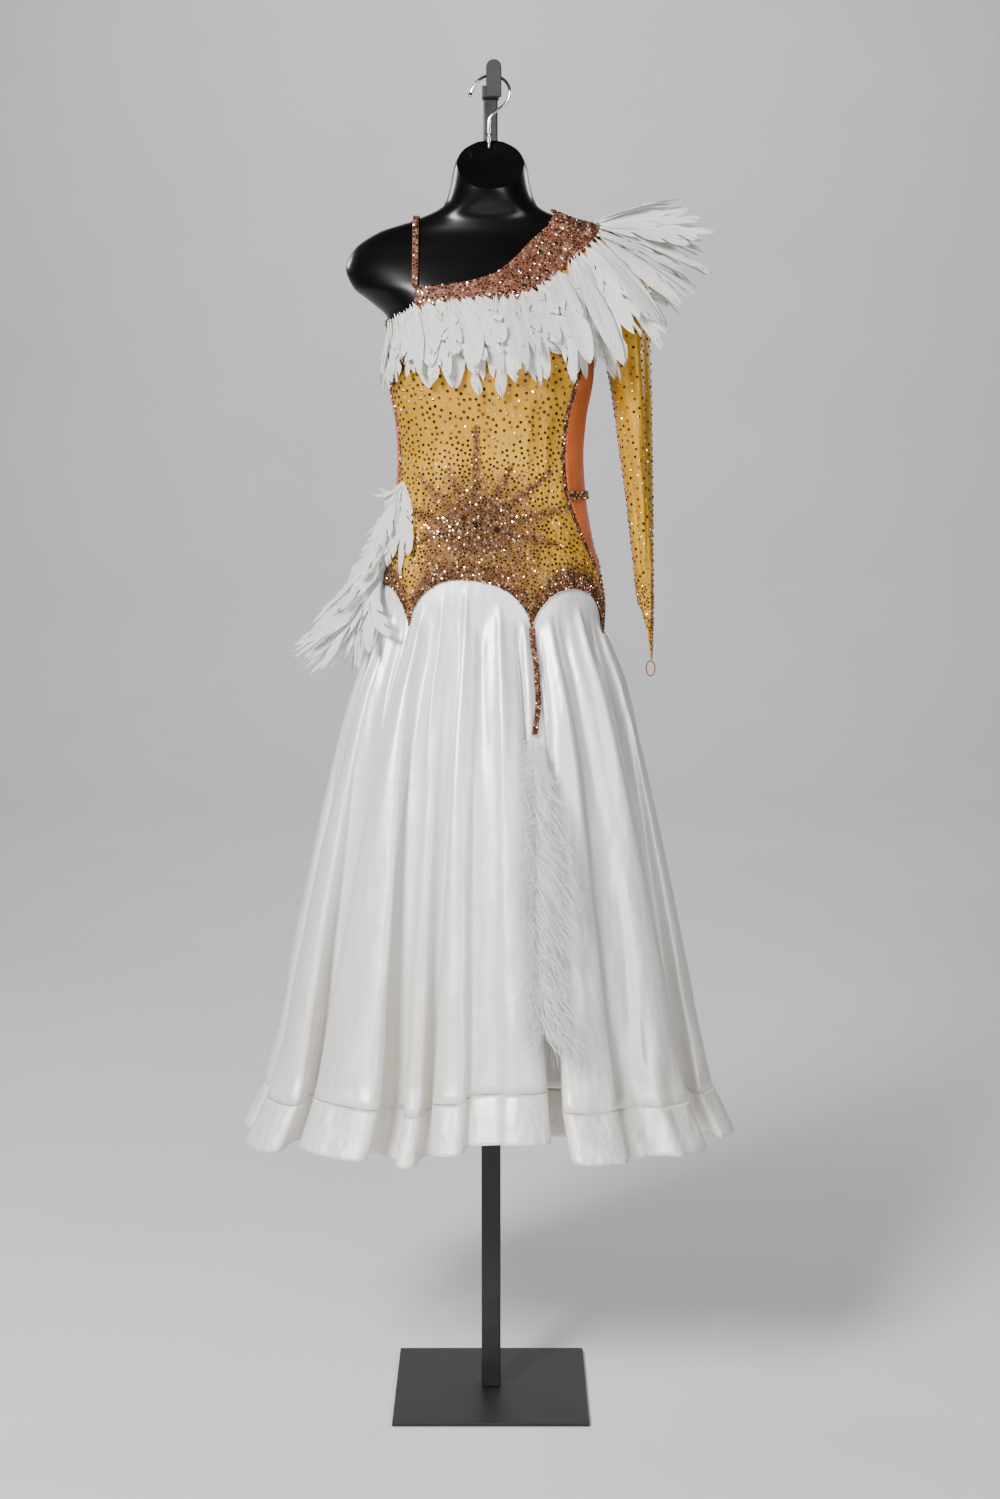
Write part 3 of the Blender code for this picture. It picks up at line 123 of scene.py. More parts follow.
# %%
class Wire:
    """A shader socket that can be used in sums."""

    def __init__(self, tree, socket):
        self.tree = tree
        self.socket = socket

    def node(self, kind, inputs=(), output=0, **settings):
        """Add a node of any kind, feed its inputs, and return one of its outputs."""
        made = self.tree.nodes.new(kind)
        for key, value in settings.items():
            setattr(made, key, value)
        for key, value in dict(inputs).items():
            if isinstance(value, Wire):
                self.tree.links.new(value.socket, made.inputs[key])
            else:
                made.inputs[key].default_value = value
        return Wire(self.tree, made.outputs[output])

    def maths(self, operation, *others):
        values = dict(enumerate((self,) + others))
        return self.node("ShaderNodeMath", values, operation=operation)

    def __add__(self, other):
        return self.maths("ADD", other)

    __radd__ = __add__

    def __mul__(self, other):
        return self.maths("MULTIPLY", other)

    __rmul__ = __mul__

    def __sub__(self, other):
        return self.maths("SUBTRACT", other)

    def sin(self):
        return self.maths("SINE")

    def step(self, low, high):
        """A smooth rise from 0 at low to 1 at high."""
        return self.node("ShaderNodeMapRange", {0: self, 1: low, 2: high},
                         interpolation_type="SMOOTHSTEP")

    def mix(self, first, second):
        """Between two colours by this share."""
        made = self.tree.nodes.new("ShaderNodeMix")
        made.data_type = "RGBA"
        self.tree.links.new(self.socket, made.inputs["Factor"])
        for index, value in ((6, first), (7, second)):
            if isinstance(value, Wire):
                self.tree.links.new(value.socket, made.inputs[index])
            else:
                made.inputs[index].default_value = (*value, 1.0)
        return Wire(self.tree, made.outputs[2])


class Finish:
    """A new material with a Principled shader, and the coordinates that it reads."""

    def __init__(self, name, **constants):
        self.material = bpy.data.materials.new(name)
        self.material.use_nodes = True
        self.tree = self.material.node_tree
        self.shader = self.tree.nodes["Principled BSDF"]
        for key, value in constants.items():
            self.set(key.replace("_", " "), value)
        coordinates = self.tree.nodes.new("ShaderNodeTexCoord")
        self.place = Wire(self.tree, coordinates.outputs["Object"])

    def set(self, key, value):
        if isinstance(value, Wire):
            self.tree.links.new(value.socket, self.shader.inputs[key])
        else:
            self.shader.inputs[key].default_value = value

    def parts(self, vector):
        """The three numbers of a vector."""
        split = self.tree.nodes.new("ShaderNodeSeparateXYZ")
        self.tree.links.new(vector.socket, split.inputs[0])
        return [Wire(self.tree, out) for out in split.outputs]

    def noise(self, scale, detail=3.0, stretch=(1.0, 1.0, 1.0), rough=0.55):
        """Cloudy noise in object space, finer along an axis with a larger stretch."""
        scaled = self.place.node("ShaderNodeVectorMath", {0: self.place, 1: stretch},
                                 operation="MULTIPLY")
        return self.place.node("ShaderNodeTexNoise", {"Vector": scaled, "Scale": scale,
                                                      "Detail": detail, "Roughness": rough})

    def bump(self, height, distance, strength=1.0):
        """Raise the surface by a height field, in metres at full strength."""
        self.set("Normal", self.place.node(
            "ShaderNodeBump", {"Height": height, "Distance": distance, "Strength": strength}))


print("shader helpers ready")

# %% [markdown]
# ## Cloth and plastic
#
# Satin is smooth across its floats and a little rougher along them, so its weave is far too
# fine to see at this distance: what shows is a soft broad gloss and a faint slub. The gold
# satin has a warm, uneven dye. The mesh is matte and finely knitted, over its lining. The form
# is moulded plastic with a slight orange peel, and the stand is powder coated.

# %%
def white_satin_finish():
    """White satin, whose folds gleam. It is creamier near the floor."""
    made = Finish("white_satin", Metallic=0.28, Specular_IOR_Level=0.7)
    cloud = made.noise(7.0, 2.0)
    z = made.parts(made.place)[2]
    cream = z.step(1.00, 0.50)
    colour = cream.mix((0.80, 0.805, 0.815), (0.80, 0.765, 0.70))
    made.set("Base Color", cloud.step(0.3, 0.75).mix(colour, (0.79, 0.78, 0.76)))
    drape = made.noise(11.0, 3.0, (1.0, 1.0, 0.14), 0.55)
    dents = made.noise(17.0, 3.0, (1.0, 1.0, 0.55), 0.5)
    band = z.step(0.57, 0.52)
    made.set("Roughness", 0.37 + cloud * 0.10 + band * 0.14)
    made.bump(drape + dents * 0.35 + dents * band * 1.2, 0.020, 0.50)
    return made.material


def gold_satin_finish():
    """Dyed satin, much darker where the stones are close together."""
    made = Finish("gold_satin", Metallic=0.30, Specular_IOR_Level=0.25)
    cloud = made.noise(26.0, 3.0, (1.0, 1.0, 0.35))
    ground = made.place.node("ShaderNodeAttribute", output=2, attribute_name="ground")
    colour = cloud.step(0.25, 0.78).mix((0.47, 0.235, 0.013), (0.60, 0.325, 0.026))
    made.set("Base Color", ground.mix(colour, (0.085, 0.034, 0.018)))
    made.set("Roughness", 0.34 + cloud * 0.12 + ground * 0.45)
    crease = made.noise(38.0, 3.0, (1.0, 1.0, 0.16))
    z = made.parts(made.place)[2]
    made.bump(crease * (0.6 + z.step(1.47, 1.36) * 0.9), 0.008, 0.65)
    return made.material


def rust_mesh_finish():
    made = Finish("rust_mesh", Roughness=0.62, Sheen_Weight=0.04, Sheen_Roughness=0.5)
    cloud = made.noise(18.0, 3.0)
    x, y, z = made.parts(made.place)
    knit = ((x + y + z) * 2600.0).sin() * ((z - x - y) * 2600.0).sin()
    colour = cloud.step(0.25, 0.75).mix((0.38, 0.072, 0.008), (0.50, 0.110, 0.014))
    made.set("Base Color", colour)
    wrinkle = made.noise(46.0, 3.0, (1.0, 1.0, 0.35))
    made.bump(knit * 0.03 + wrinkle, 0.006, 0.6)
    return made.material


def band_cloth_finish():
    made = Finish("stoned_band", Roughness=0.60, Specular_IOR_Level=0.3)
    cloud = made.noise(60.0, 3.0)
    made.set("Base Color", cloud.step(0.3, 0.7).mix((0.10, 0.034, 0.016), (0.18, 0.064, 0.030)))
    made.bump(cloud, 0.0006, 0.4)
    return made.material


def elastic_finish():
    made = Finish("copper_elastic", Roughness=0.45, Metallic=0.25)
    x, _, z = made.parts(made.place)
    ribs = ((z + x * 0.5) * 4200.0).sin()
    made.set("Base Color", ribs.step(-1.0, 1.0).mix((0.20, 0.060, 0.018), (0.42, 0.130, 0.042)))
    made.bump(ribs, 0.0003, 0.6)
    return made.material


def form_finish():
    made = Finish("form_black", Specular_IOR_Level=0.22, Coat_Weight=0.04, Coat_Roughness=0.12)
    cloud = made.noise(9.0, 3.0)
    colour = cloud.step(0.3, 0.7).mix((0.0014, 0.0014, 0.0015), (0.0026, 0.0026, 0.0028))
    made.set("Base Color", colour)
    made.set("Roughness", 0.23 + cloud * 0.07)
    made.bump(made.noise(420.0, 2.0), 0.00012, 0.15)
    return made.material


def stand_finish():
    made = Finish("stand_black", Specular_IOR_Level=0.45)
    cloud = made.noise(30.0, 4.0)
    colour = cloud.step(0.3, 0.8).mix((0.0070, 0.0070, 0.0072), (0.014, 0.014, 0.0145))
    made.set("Base Color", colour)
    made.set("Roughness", 0.40 + cloud * 0.16)
    made.bump(made.noise(900.0, 2.0), 0.0002, 0.5)
    return made.material


def chrome_finish():
    made = Finish("chrome", Metallic=1.0)
    cloud = made.noise(90.0, 3.0)
    made.set("Base Color", cloud.step(0.2, 0.8).mix((0.66, 0.66, 0.68), (0.82, 0.82, 0.84)))
    made.set("Roughness", 0.07 + cloud * 0.08)
    return made.material


def floor_finish():
    made = Finish("pale_floor", Roughness=0.75, Specular_IOR_Level=0.25)
    cloud = made.noise(1.6, 4.0)
    made.set("Base Color", cloud.step(0.2, 0.8).mix((0.72, 0.72, 0.725), (0.76, 0.76, 0.76)))
    return made.material


LOOK = {"white_satin": white_satin_finish(), "gold_satin": gold_satin_finish(),
        "rust_mesh": rust_mesh_finish(), "stoned_band": band_cloth_finish(),
        "copper_elastic": elastic_finish(), "form_black": form_finish(),
        "stand_black": stand_finish(), "chrome": chrome_finish()}
floor.data.materials.append(floor_finish())
print("finishes", sorted(LOOK))

# %% [markdown]
# ## The torso that everything is measured from
#
# A dress form is a stack of level sections. Each row below gives one: its half width, and how
# far it reaches to the front and to the back. Between the rows a curve that never overshoots
# fills in. Cloth is placed by its angle round the body and its height, and then moved out along
# the surface's normal, so each layer lies on the one below it.

# %%
def table(columns, rows):
    """A table whose rows are read by the names of their columns."""
    kind = namedtuple("Row", columns)
    return [kind(*row) for row in rows]


FORM_SECTIONS = table("height half_width front back squareness", [
    (1.08, 0.14, -0.146, 0.044, 2.3),
    (1.13, 0.154, -0.154, 0.054, 2.3),
    (1.19, 0.1625, -0.158, 0.06, 2.3),
    (1.234, 0.1635, -0.157, 0.06, 2.3),
    (1.29, 0.156, -0.151, 0.05, 2.3),
    (1.345, 0.1465, -0.144, 0.036, 2.3),
    (1.405, 0.137, -0.139, 0.024, 2.2),
    (1.463, 0.1335, -0.141, 0.02, 2.2),
    (1.514, 0.137, -0.15, 0.026, 2.2),
    (1.585, 0.148, -0.171, 0.036, 2.2),
    (1.64, 0.147, -0.164, 0.043, 2.2),
    (1.66, 0.15, -0.158, 0.044, 2.2),
    (1.687, 0.177, -0.148, 0.044, 2.2),
    (1.706, 0.201, -0.14, 0.042, 2.2),
    (1.735, 0.213, -0.127, 0.039, 2.2),
    (1.761, 0.202, -0.115, 0.033, 2.2),
    (1.788, 0.164, -0.104, 0.024, 2.2),
    (1.802, 0.118, -0.103, 0.014, 2.2),
    (1.824, 0.069, -0.112, 0.002, 2.1),
    (1.849, 0.059, -0.117, -0.003, 2.0),
    (1.88, 0.053, -0.112, -0.008, 2.0),
    (1.904, 0.04, -0.101, -0.018, 2.0),
    (1.918, 0.023, -0.084, -0.036, 2.0),
])
CLOTH = 0.0015
EASE = 0.0026
HIP_LIFT = 0.0040
SHOULDER_EASE = 0.0045
SEAM = 0.0003
TUBE_MERGE, ROD_MERGE = 0.00005, 0.000002


class Smooth:
    """A smooth curve through the points of a table, which never overshoots them."""

    def __init__(self, keys, values):
        self.keys = list(keys)
        self.values = list(values)
        pairs = list(zip(self.keys, self.values))
        steps = [(b[1] - a[1]) / (b[0] - a[0]) for a, b in zip(pairs, pairs[1:])]
        middle = [2 * a * b / (a + b) if a * b > 0 else 0.0 for a, b in zip(steps, steps[1:])]
        self.slopes = [steps[0]] + middle + [steps[-1]]

    def __call__(self, key):
        at = bisect.bisect_right(self.keys, key) - 1
        at = min(max(at, 0), len(self.keys) - 2)
        width = self.keys[at + 1] - self.keys[at]
        t = min(max((key - self.keys[at]) / width, 0.0), 1.0)
        rise = self.values[at + 1] - self.values[at]
        start, end = self.slopes[at] * width, self.slopes[at + 1] * width
        return (self.values[at] + start * t + (3 * rise - 2 * start - end) * t * t
                + (start + end - 2 * rise) * t ** 3)


def column(rows, key, value):
    """One column of a table, as a smooth curve over another."""
    rows = sorted(rows, key=lambda row: getattr(row, key))
    return Smooth([getattr(row, key) for row in rows], [getattr(row, value) for row in rows])


FORM_HALF_WIDTH = column(FORM_SECTIONS, "height", "half_width")
FORM_FRONT = column(FORM_SECTIONS, "height", "front")
FORM_BACK = column(FORM_SECTIONS, "height", "back")
FORM_SQUARENESS = column(FORM_SECTIONS, "height", "squareness")


def signed_power(value, power):
    return math.copysign(abs(value) ** power, value)


def form_point(angle, height):
    """A point of the torso's surface. The angle is in degrees from the front, towards +X."""
    turn = math.radians(angle)
    power = 2.0 / FORM_SQUARENESS(height)
    front, back = FORM_FRONT(height), FORM_BACK(height)
    across = FORM_HALF_WIDTH(height) * signed_power(math.sin(turn), power)
    deep = (back - front) / 2 * signed_power(math.cos(turn), power)
    return Vector((across, (front + back) / 2 - deep, height))


def normal_of(surface, a, b, step_a, step_b):
    along = surface(a + step_a, b) - surface(a - step_a, b)
    up = surface(a, b + step_b) - surface(a, b - step_b)
    return along.cross(up).normalized()


def form_normal(angle, height):
    return normal_of(form_point, angle, height, 1.5, 0.004)


def on_form(angle, height, distance):
    return form_point(angle, height) + form_normal(angle, height) * distance


def ramp(value, start, end):
    share = min(max((value - start) / (end - start), 0.0), 1.0)
    return share * share * (3 - 2 * share)


def ease(height):
    """Room between the form and the bodice, as in the solids."""
    over_shoulder = (SHOULDER_EASE - EASE) * ramp(height, 1.626, 1.664)
    return EASE + over_shoulder + HIP_LIFT * (1 - ramp(height, 1.292, 1.335))


def blend(a, b, share):
    if isinstance(a, (int, float)):
        return a + (b - a) * share
    if isinstance(a, Vector):
        return a.lerp(b, share)
    return tuple(x + (y - x) * share for x, y in zip(a, b))


print("hip width", round(2 * FORM_HALF_WIDTH(1.22), 3))

# %% [markdown]
# ## Ways to make a piece
#
# A panel of cloth is a flat grid, like cloth on the cutting table, whose points are then laid
# where the pattern says. `Solidify` gives it its thickness towards the body. A thing that comes
# in hundreds, like a stone, is modelled once and its points are copied with arrays. Helpers
# for both come here, with one that seats a finished piece on the frame.

# %%
def only(made):
    """Make one object the only selected and active one."""
    bpy.ops.object.select_all(action="DESELECT")
    made.select_set(True)
    bpy.context.view_layer.objects.active = made


def laid_grid(name, columns, rows, lay, look=None):
    """A grid whose points are moved to lay(u, v): u runs to the right, v runs up."""
    bpy.ops.object.select_all(action="DESELECT")
    bpy.ops.mesh.primitive_grid_add(x_subdivisions=columns, y_subdivisions=rows, size=1.0)
    made = bpy.context.active_object
    made.name = name
    for vert in made.data.vertices:
        vert.co = lay(vert.co.x + 0.5, vert.co.y + 0.5)
    if look:
        made.data.materials.append(look)
    bpy.ops.object.shade_smooth()
    return made


def thicken(made, thickness=CLOTH):
    """Give a sheet its thickness on the inner side."""
    only(made)
    modifier = made.modifiers.new("thickness", "SOLIDIFY")
    modifier.thickness = thickness
    modifier.offset = -1.0
    bpy.ops.object.modifier_apply(modifier=modifier.name)


def face_out(made, merge=0.0):
    """Turn a mesh's faces outwards. A grid rolled into a tube has its two ends merged first."""
    only(made)
    bpy.ops.object.mode_set(mode="EDIT")
    bpy.ops.mesh.select_all(action="SELECT")
    if merge:
        bpy.ops.mesh.remove_doubles(threshold=merge)
    bpy.ops.mesh.normals_make_consistent(inside=False)
    bpy.ops.object.mode_set(mode="OBJECT")


def seat(made, slot, *nodes):
    """Ride on the stand and stand in for solids. The slot is not used."""
    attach(made, "root")
    if nodes:
        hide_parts(*nodes)
    return made


def joined(name, points, faces, look, smooth=False, tone=None):
    """One mesh from arrays of points and faces, with an optional tone for each point."""
    data = bpy.data.meshes.new(name)
    data.from_pydata(points, [], faces)
    if tone is not None:
        stored = data.attributes.new("tone", "FLOAT", "POINT")
        stored.data.foreach_set("value", tone.astype(np.float32))
    data.polygons.foreach_set("use_smooth", np.full(len(faces), smooth, dtype=bool))
    data.materials.append(look)
    made = bpy.data.objects.new(name, data)
    bpy.context.collection.objects.link(made)
    return made


def model_arrays(made):
    """The points and triangles of a small model, and the model is then removed."""
    data = made.data
    data.calc_loop_triangles()
    points = np.array([vert.co[:] for vert in data.vertices])
    triangles = np.array([tuple(t.vertices) for t in data.loop_triangles])
    bpy.data.objects.remove(made, do_unlink=True)
    return points, triangles


def copies(model, frames):
    """Copies of a model's arrays, one for each (origin, across, up, out, scale)."""
    points, triangles = model[:2]
    origin = np.array([f[0][:] for f in frames])
    axes = np.array([[f[1][:], f[2][:], f[3][:]] for f in frames])
    scale = np.array([f[4] for f in frames])
    placed = np.einsum("pi,fij->fpj", points, axes * scale[:, None, None]) + origin[:, None, :]
    shifts = (np.arange(len(frames)) * len(points))[:, None, None]
    return placed.reshape(-1, 3), (triangles[None] + shifts).reshape(-1, 3)


print("helpers ready")

# %% [markdown]
# ## The form, its hook and the stand
#
# The torso is blow-moulded in one skin. It starts as a grid that is rolled into a tube and
# shaped by the sections. Its neck has a slanted flat face, which one bisecting plane cuts. The
# groove up the back takes the pole, and a narrow hole in the neck takes the hook's stem: both
# are Booleans, because on the real form they are pressed in with square edges.

# %%
NECK_LIP = Vector((0.0, -0.1145, 1.843))
NECK_FACE_LEAN = math.radians(47.0)
FORM_TOP = Vector((0.0, -0.060, 1.924))
POLE_HALF = 0.011
HOOK_X, HOOK_Y, HOOK_RADIUS = -0.002, -0.052, 0.0022
TORSO_COLUMNS, TORSO_ROWS = 112, 150


def torso_lay(u, v):
    if v > 1 - 0.5 / TORSO_ROWS:
        return FORM_TOP
    low, high = FORM_SECTIONS[0].height, FORM_SECTIONS[-1].height
    return form_point(360.0 * u, blend(low, high, min(v * TORSO_ROWS / (TORSO_ROWS - 1), 1.0)))


torso = laid_grid("torso", TORSO_COLUMNS, TORSO_ROWS, torso_lay, LOOK["form_black"])
face_out(torso, TUBE_MERGE)
bpy.ops.object.mode_set(mode="EDIT")
bpy.ops.mesh.select_all(action="DESELECT")
bpy.ops.mesh.select_non_manifold(extend=False)
bpy.ops.mesh.edge_face_add()
bpy.ops.mesh.select_all(action="SELECT")
bpy.ops.mesh.bisect(plane_co=NECK_LIP, use_fill=True, clear_outer=True,
                    plane_no=(0.0, -math.sin(NECK_FACE_LEAN), math.cos(NECK_FACE_LEAN)))
bpy.ops.mesh.normals_make_consistent(inside=False)
bpy.ops.object.mode_set(mode="OBJECT")
print("torso", len(torso.data.polygons), "faces")


# %%
def cut_away(target, cutter):
    """Cut one object out of another and remove the cutter."""
    only(target)
    modifier = target.modifiers.new("cut", "BOOLEAN")
    modifier.operation = "DIFFERENCE"
    modifier.solver = "EXACT"
    modifier.object = cutter
    bpy.ops.object.modifier_apply(modifier=modifier.name)
    bpy.data.objects.remove(cutter, do_unlink=True)


bpy.ops.object.select_all(action="DESELECT")
bpy.ops.mesh.primitive_cube_add(size=1.0, location=(0.0, 0.0, 1.505),
                                scale=(2 * POLE_HALF + 0.003, 1.0, 0.95))
groove = bpy.context.active_object
groove.location.y = 0.5 - POLE_HALF - 0.0015
cut_away(torso, groove)
bpy.ops.mesh.primitive_cylinder_add(vertices=24, radius=HOOK_RADIUS + 0.0004, depth=0.08,
                                    location=(HOOK_X, HOOK_Y, 1.920))
cut_away(torso, bpy.context.active_object)
only(torso)
bpy.ops.object.shade_smooth_by_angle(angle=math.radians(32.0))
seat(torso, "form_black", "torso_form")
torso_tree = BVHTree.FromObject(torso, bpy.context.evaluated_depsgraph_get())
print("torso cut, faces", len(torso.data.polygons))

# %% [markdown]
# The hook is bent from one round wire. Its path is a short list of places in the plane of the
# shoulders. The wire ends in a small ball, and a hexagonal nut on its thread holds it to the
# neck. The nut is a cylinder with six sides, beveled.

# %%
HOOK_PATH = table("x height", [
    (-0.002, 1.885), (-0.002, 1.92), (-0.002, 1.944),
    (0.001, 1.954), (0.009, 1.961), (0.019, 1.968),
    (0.026, 1.977), (0.0285, 1.986), (0.0265, 1.996),
    (0.02, 2.0045), (0.01, 2.0095), (0.0, 2.011),
    (-0.011, 2.008), (-0.02, 2.001), (-0.026, 1.992),
    (-0.0295, 1.983), (-0.0302, 1.9795),
])


def spline(a, b, c, d, t):
    """A place between b and c on a smooth curve through four points."""
    return 0.5 * (2 * b + (c - a) * t + (2 * a - 5 * b + 4 * c - d) * t * t
                  + (3 * b - a - 3 * c + d) * t ** 3)


def through(points, steps):
    """Points along a smooth curve through a list of vectors, with steps to each span."""
    ends = [points[0] * 2 - points[1]] + list(points) + [points[-1] * 2 - points[-2]]
    path = []
    for four in zip(ends, ends[1:], ends[2:], ends[3:]):
        path += [spline(*four, i / steps) for i in range(steps)]
    return path + [points[-1].copy()]


def rod(name, path, radii, sides, look, across=Vector((0.0, 1.0, 0.0))):
    """A round rod along a path that lies in the plane across is normal to."""
    last = len(path) - 1

    def lay(u, v):
        at = round(v * last)
        ahead = (path[min(at + 1, last)] - path[max(at - 1, 0)]).normalized()
        side = ahead.cross(across).normalized()
        turn = 2 * math.pi * u
        return path[at] + (side * math.cos(turn) + across * math.sin(turn)) * radii[at]

    made = laid_grid(name, sides, last, lay, look)
    face_out(made, ROD_MERGE)
    return made


hook_path = through([Vector((row.x, HOOK_Y, row.height)) for row in HOOK_PATH], 6)
hook_radii = [HOOK_RADIUS] * (len(hook_path) - 9)
hook_radii += [HOOK_RADIUS * k for k in (1.0, 1.25, 1.45, 1.55, 1.55, 1.45, 1.2, 0.75, 0.02)]
hook = rod("hook_wire", hook_path, hook_radii, 20, LOOK["chrome"])
seat(hook, "chrome", "hook")

bpy.ops.mesh.primitive_cylinder_add(vertices=6, radius=0.0062, depth=0.0048,
                                    location=(HOOK_X, HOOK_Y, 1.9262))
nut = bpy.context.active_object
nut.name = "hook_nut"
bpy.ops.object.transform_apply(location=True)
bpy.ops.object.mode_set(mode="EDIT")
bpy.ops.mesh.select_all(action="SELECT")
bpy.ops.mesh.bevel(offset=0.0006, segments=2)
bpy.ops.object.mode_set(mode="OBJECT")
nut.data.materials.append(LOOK["chrome"])
seat(nut, "chrome")
print("hook", len(hook.data.polygons), "faces")

# %% [markdown]
# The stand's plate, poles, cap, peg and stop keep the solids' shapes, which already have their
# real beveled edges. They only take the powder coating.

# %%
for node in ("base_plate", "pole_lower", "pole_upper", "pole_cap", "hook_peg", "peg_stop"):
    solid = bpy.data.objects[node]
    for place in solid.material_slots:
        place.material = LOOK["stand_black"]
print("stand coated")

# %% [markdown]
# ## Cutting the bodice
#
# The bodice is a front and a back panel, with a lens of mesh between them at each side. Its
# lower edge is scalloped, and its upper edge runs from under the bare arm along the stoned band
# to the shoulder seam. Every edge below is a curve of angle and height on the torso.

# %%
TWIST = 12.0
MESH_MIDDLE = 90.0
MESH_TOP = 1.645
INSERT_GAP, PANEL_GAP, SHOULDER_SEAM = 0.11, 0.06, 89.9
MESH_EDGE = table("height angle", [
    (1.285, MESH_MIDDLE - 1.2),
    (1.325, 80.0),
    (1.375, 69.0),
    (1.43, 63.5),
    (1.485, 63.2),
    (1.535, 66.0),
    (1.58, 70.5),
    (1.645, 78.0),
])
NECK_BAND = table("low_angle low_height high_angle high_height", [
    (-40.4, 1.668, -31.0, 1.699),
    (-23.0, 1.674, -19.0, 1.701),
    (-4.0, 1.678, -8.0, 1.706),
    (11.5, 1.684, 0.0, 1.715),
    (21.7, 1.705, 7.5, 1.739),
    (31.9, 1.739, 15.9, 1.768),
    (50.0, 1.768, 30.0, 1.791),
    (68.0, 1.783, 52.0, 1.804),
    (90.0, 1.79, 90.0, 1.814),
])
ARMHOLE = table("angle height", [
    (61.0, 1.672),
    (54.5, 1.705),
    (56.0, 1.742),
    (70.0, 1.761),
    (90.0, 1.77),
])
SCALLOPS = table("angle point arch", [
    (-42.0, 1.213, 1.282),
    (18.0, 1.21, 1.267),
    (78.0, 1.19, 1.262),
    (138.0, 1.205, 1.27),
    (198.0, 1.21, 1.275),
    (258.0, 1.202, 1.272),
])
SCALLOP_SPAN = 60.0
MESH_EDGE_ANGLE = column(MESH_EDGE, "height", "angle")
MESH_RISE = Smooth([row.height for row in MESH_EDGE],
                   [i / (len(MESH_EDGE) - 1) for i in range(len(MESH_EDGE))])


def hip_edge(angle):
    """Height of the scalloped seam between bodice and skirt."""
    angle = (angle - SCALLOPS[0].angle) % 360.0
    index = min(int(angle // SCALLOP_SPAN), len(SCALLOPS) - 1)
    share = angle / SCALLOP_SPAN - index
    here, after = SCALLOPS[index], SCALLOPS[(index + 1) % len(SCALLOPS)]
    foot = blend(here.point, after.point, share)
    rise = here.arch - (here.point + after.point) / 2
    return foot + rise * (1 - min(abs(2 * share - 1), 1.0) ** 2.2) ** 0.62


def front_edge(height, side):
    """Angle of the side mesh's front edge, on the +X side or the -X side."""
    angle = MESH_EDGE_ANGLE(height) if height >= MESH_EDGE[0].height else MESH_MIDDLE
    return side * angle - TWIST


def back_edge(height, side):
    """The same for its back edge, which mirrors the front one about the side seam."""
    return 2 * (side * MESH_MIDDLE - TWIST) - front_edge(height, side)


def band_curve(name):
    stations = [i / (len(NECK_BAND) - 1) for i in range(len(NECK_BAND))]
    return Smooth(stations, [getattr(row, name) for row in NECK_BAND])


BAND_CURVES = [band_curve(name) for name in NECK_BAND[0]._fields]


def band_edges(share):
    """Low and high edge of the neck band, from its strap end at 0 to the shoulder at 1."""
    values = [curve(share) for curve in BAND_CURVES]
    return (values[0], values[1]), (values[2], values[3])


print("arches rise to", max(row.arch for row in SCALLOPS))

# %% [markdown]
# A panel's points come in rows. The lowest row follows the scallops, the middle rows cross the
# waist between the mesh's edges, and the upper rows fan out from the chest to the neckline on
# one side and round the armhole on the other. The same rows later say where a stone may sit.

# %%
UNDERARM_COLUMNS, BAND_COLUMNS, SHOULDER_COLUMNS = 16, 72, 8
BODICE_COLUMNS = UNDERARM_COLUMNS + BAND_COLUMNS + SHOULDER_COLUMNS
CHEST_SHARE = Smooth((0, 16, 48, 88, 96), (0.0, 0.29, 0.66, 0.935, 1.0))
WAIST_ROWS, YOKE_ROWS, HIP_ROWS = 44, 24, 7


def edge_height(edge, angle):
    for low, high in zip(edge, edge[1:]):
        if angle <= high[0]:
            return blend(low[1], high[1], (angle - low[0]) / (high[0] - low[0]))
    return edge[-1][1]


def bodice_rows(left_edge, right_edge, hip):
    """Rows of angle and height pairs. The angles are the front's, and the back mirrors them."""
    shares = [c / BODICE_COLUMNS for c in range(BODICE_COLUMNS + 1)]
    drawn = [CHEST_SHARE(c) for c in range(BODICE_COLUMNS + 1)]
    ends = left_edge(0.0), right_edge(0.0)

    def level_row(height):
        up = MESH_RISE(height)
        left, right = left_edge(height) + INSERT_GAP, right_edge(height) - INSERT_GAP
        return [(blend(left, right, blend(s, d, up)),
                 height + 0.034 * (1 - up) * math.sin(math.pi * min(s, 1.0)) ** 0.7)
                for s, d in zip(shares, drawn)]

    low, first = MESH_EDGE[0].height, level_row(MESH_EDGE[0].height)
    hem = [(blend(*ends, s), hip(blend(*ends, s))) for s in shares]
    rows = [[blend(a, b, i / HIP_ROWS) for a, b in zip(hem, first)] for i in range(HIP_ROWS)]
    rows += [level_row(blend(low, MESH_TOP, i / WAIST_ROWS)) for i in range(WAIST_ROWS + 1)]
    chest, top = rows[-1], bodice_top(left_edge(MESH_TOP) + INSERT_GAP)
    neckline = top[:-SHOULDER_COLUMNS]
    keys = [i / len(ARMHOLE) for i in range(len(ARMHOLE) + 1)]
    arm_angle = Smooth(keys, [chest[-1][0]] + [row.angle for row in ARMHOLE])
    arm_height = Smooth(keys, [chest[-1][1]] + [row.height for row in ARMHOLE])
    for index in range(1, YOKE_ROWS + 1):
        rise = index / YOKE_ROWS
        row = []
        for s, low_point, high_point in zip(shares, chest, top):
            plain = blend(low_point, high_point, rise)
            end = blend(chest[-1], top[-1], rise)
            pull = ramp(s, 0.42, 1.0)
            angle = plain[0] + (arm_angle(rise) - end[0]) * pull
            height = plain[1] + (arm_height(rise) - end[1]) * pull * s ** 3 - SEAM * rise
            above = edge_height(neckline, angle)
            below = above - (above - low_point[1]) * (1 - rise) * 0.45 - SEAM
            row.append((angle, min(height, below) if rise < 1 else height))
        rows.append(row)
    return rows


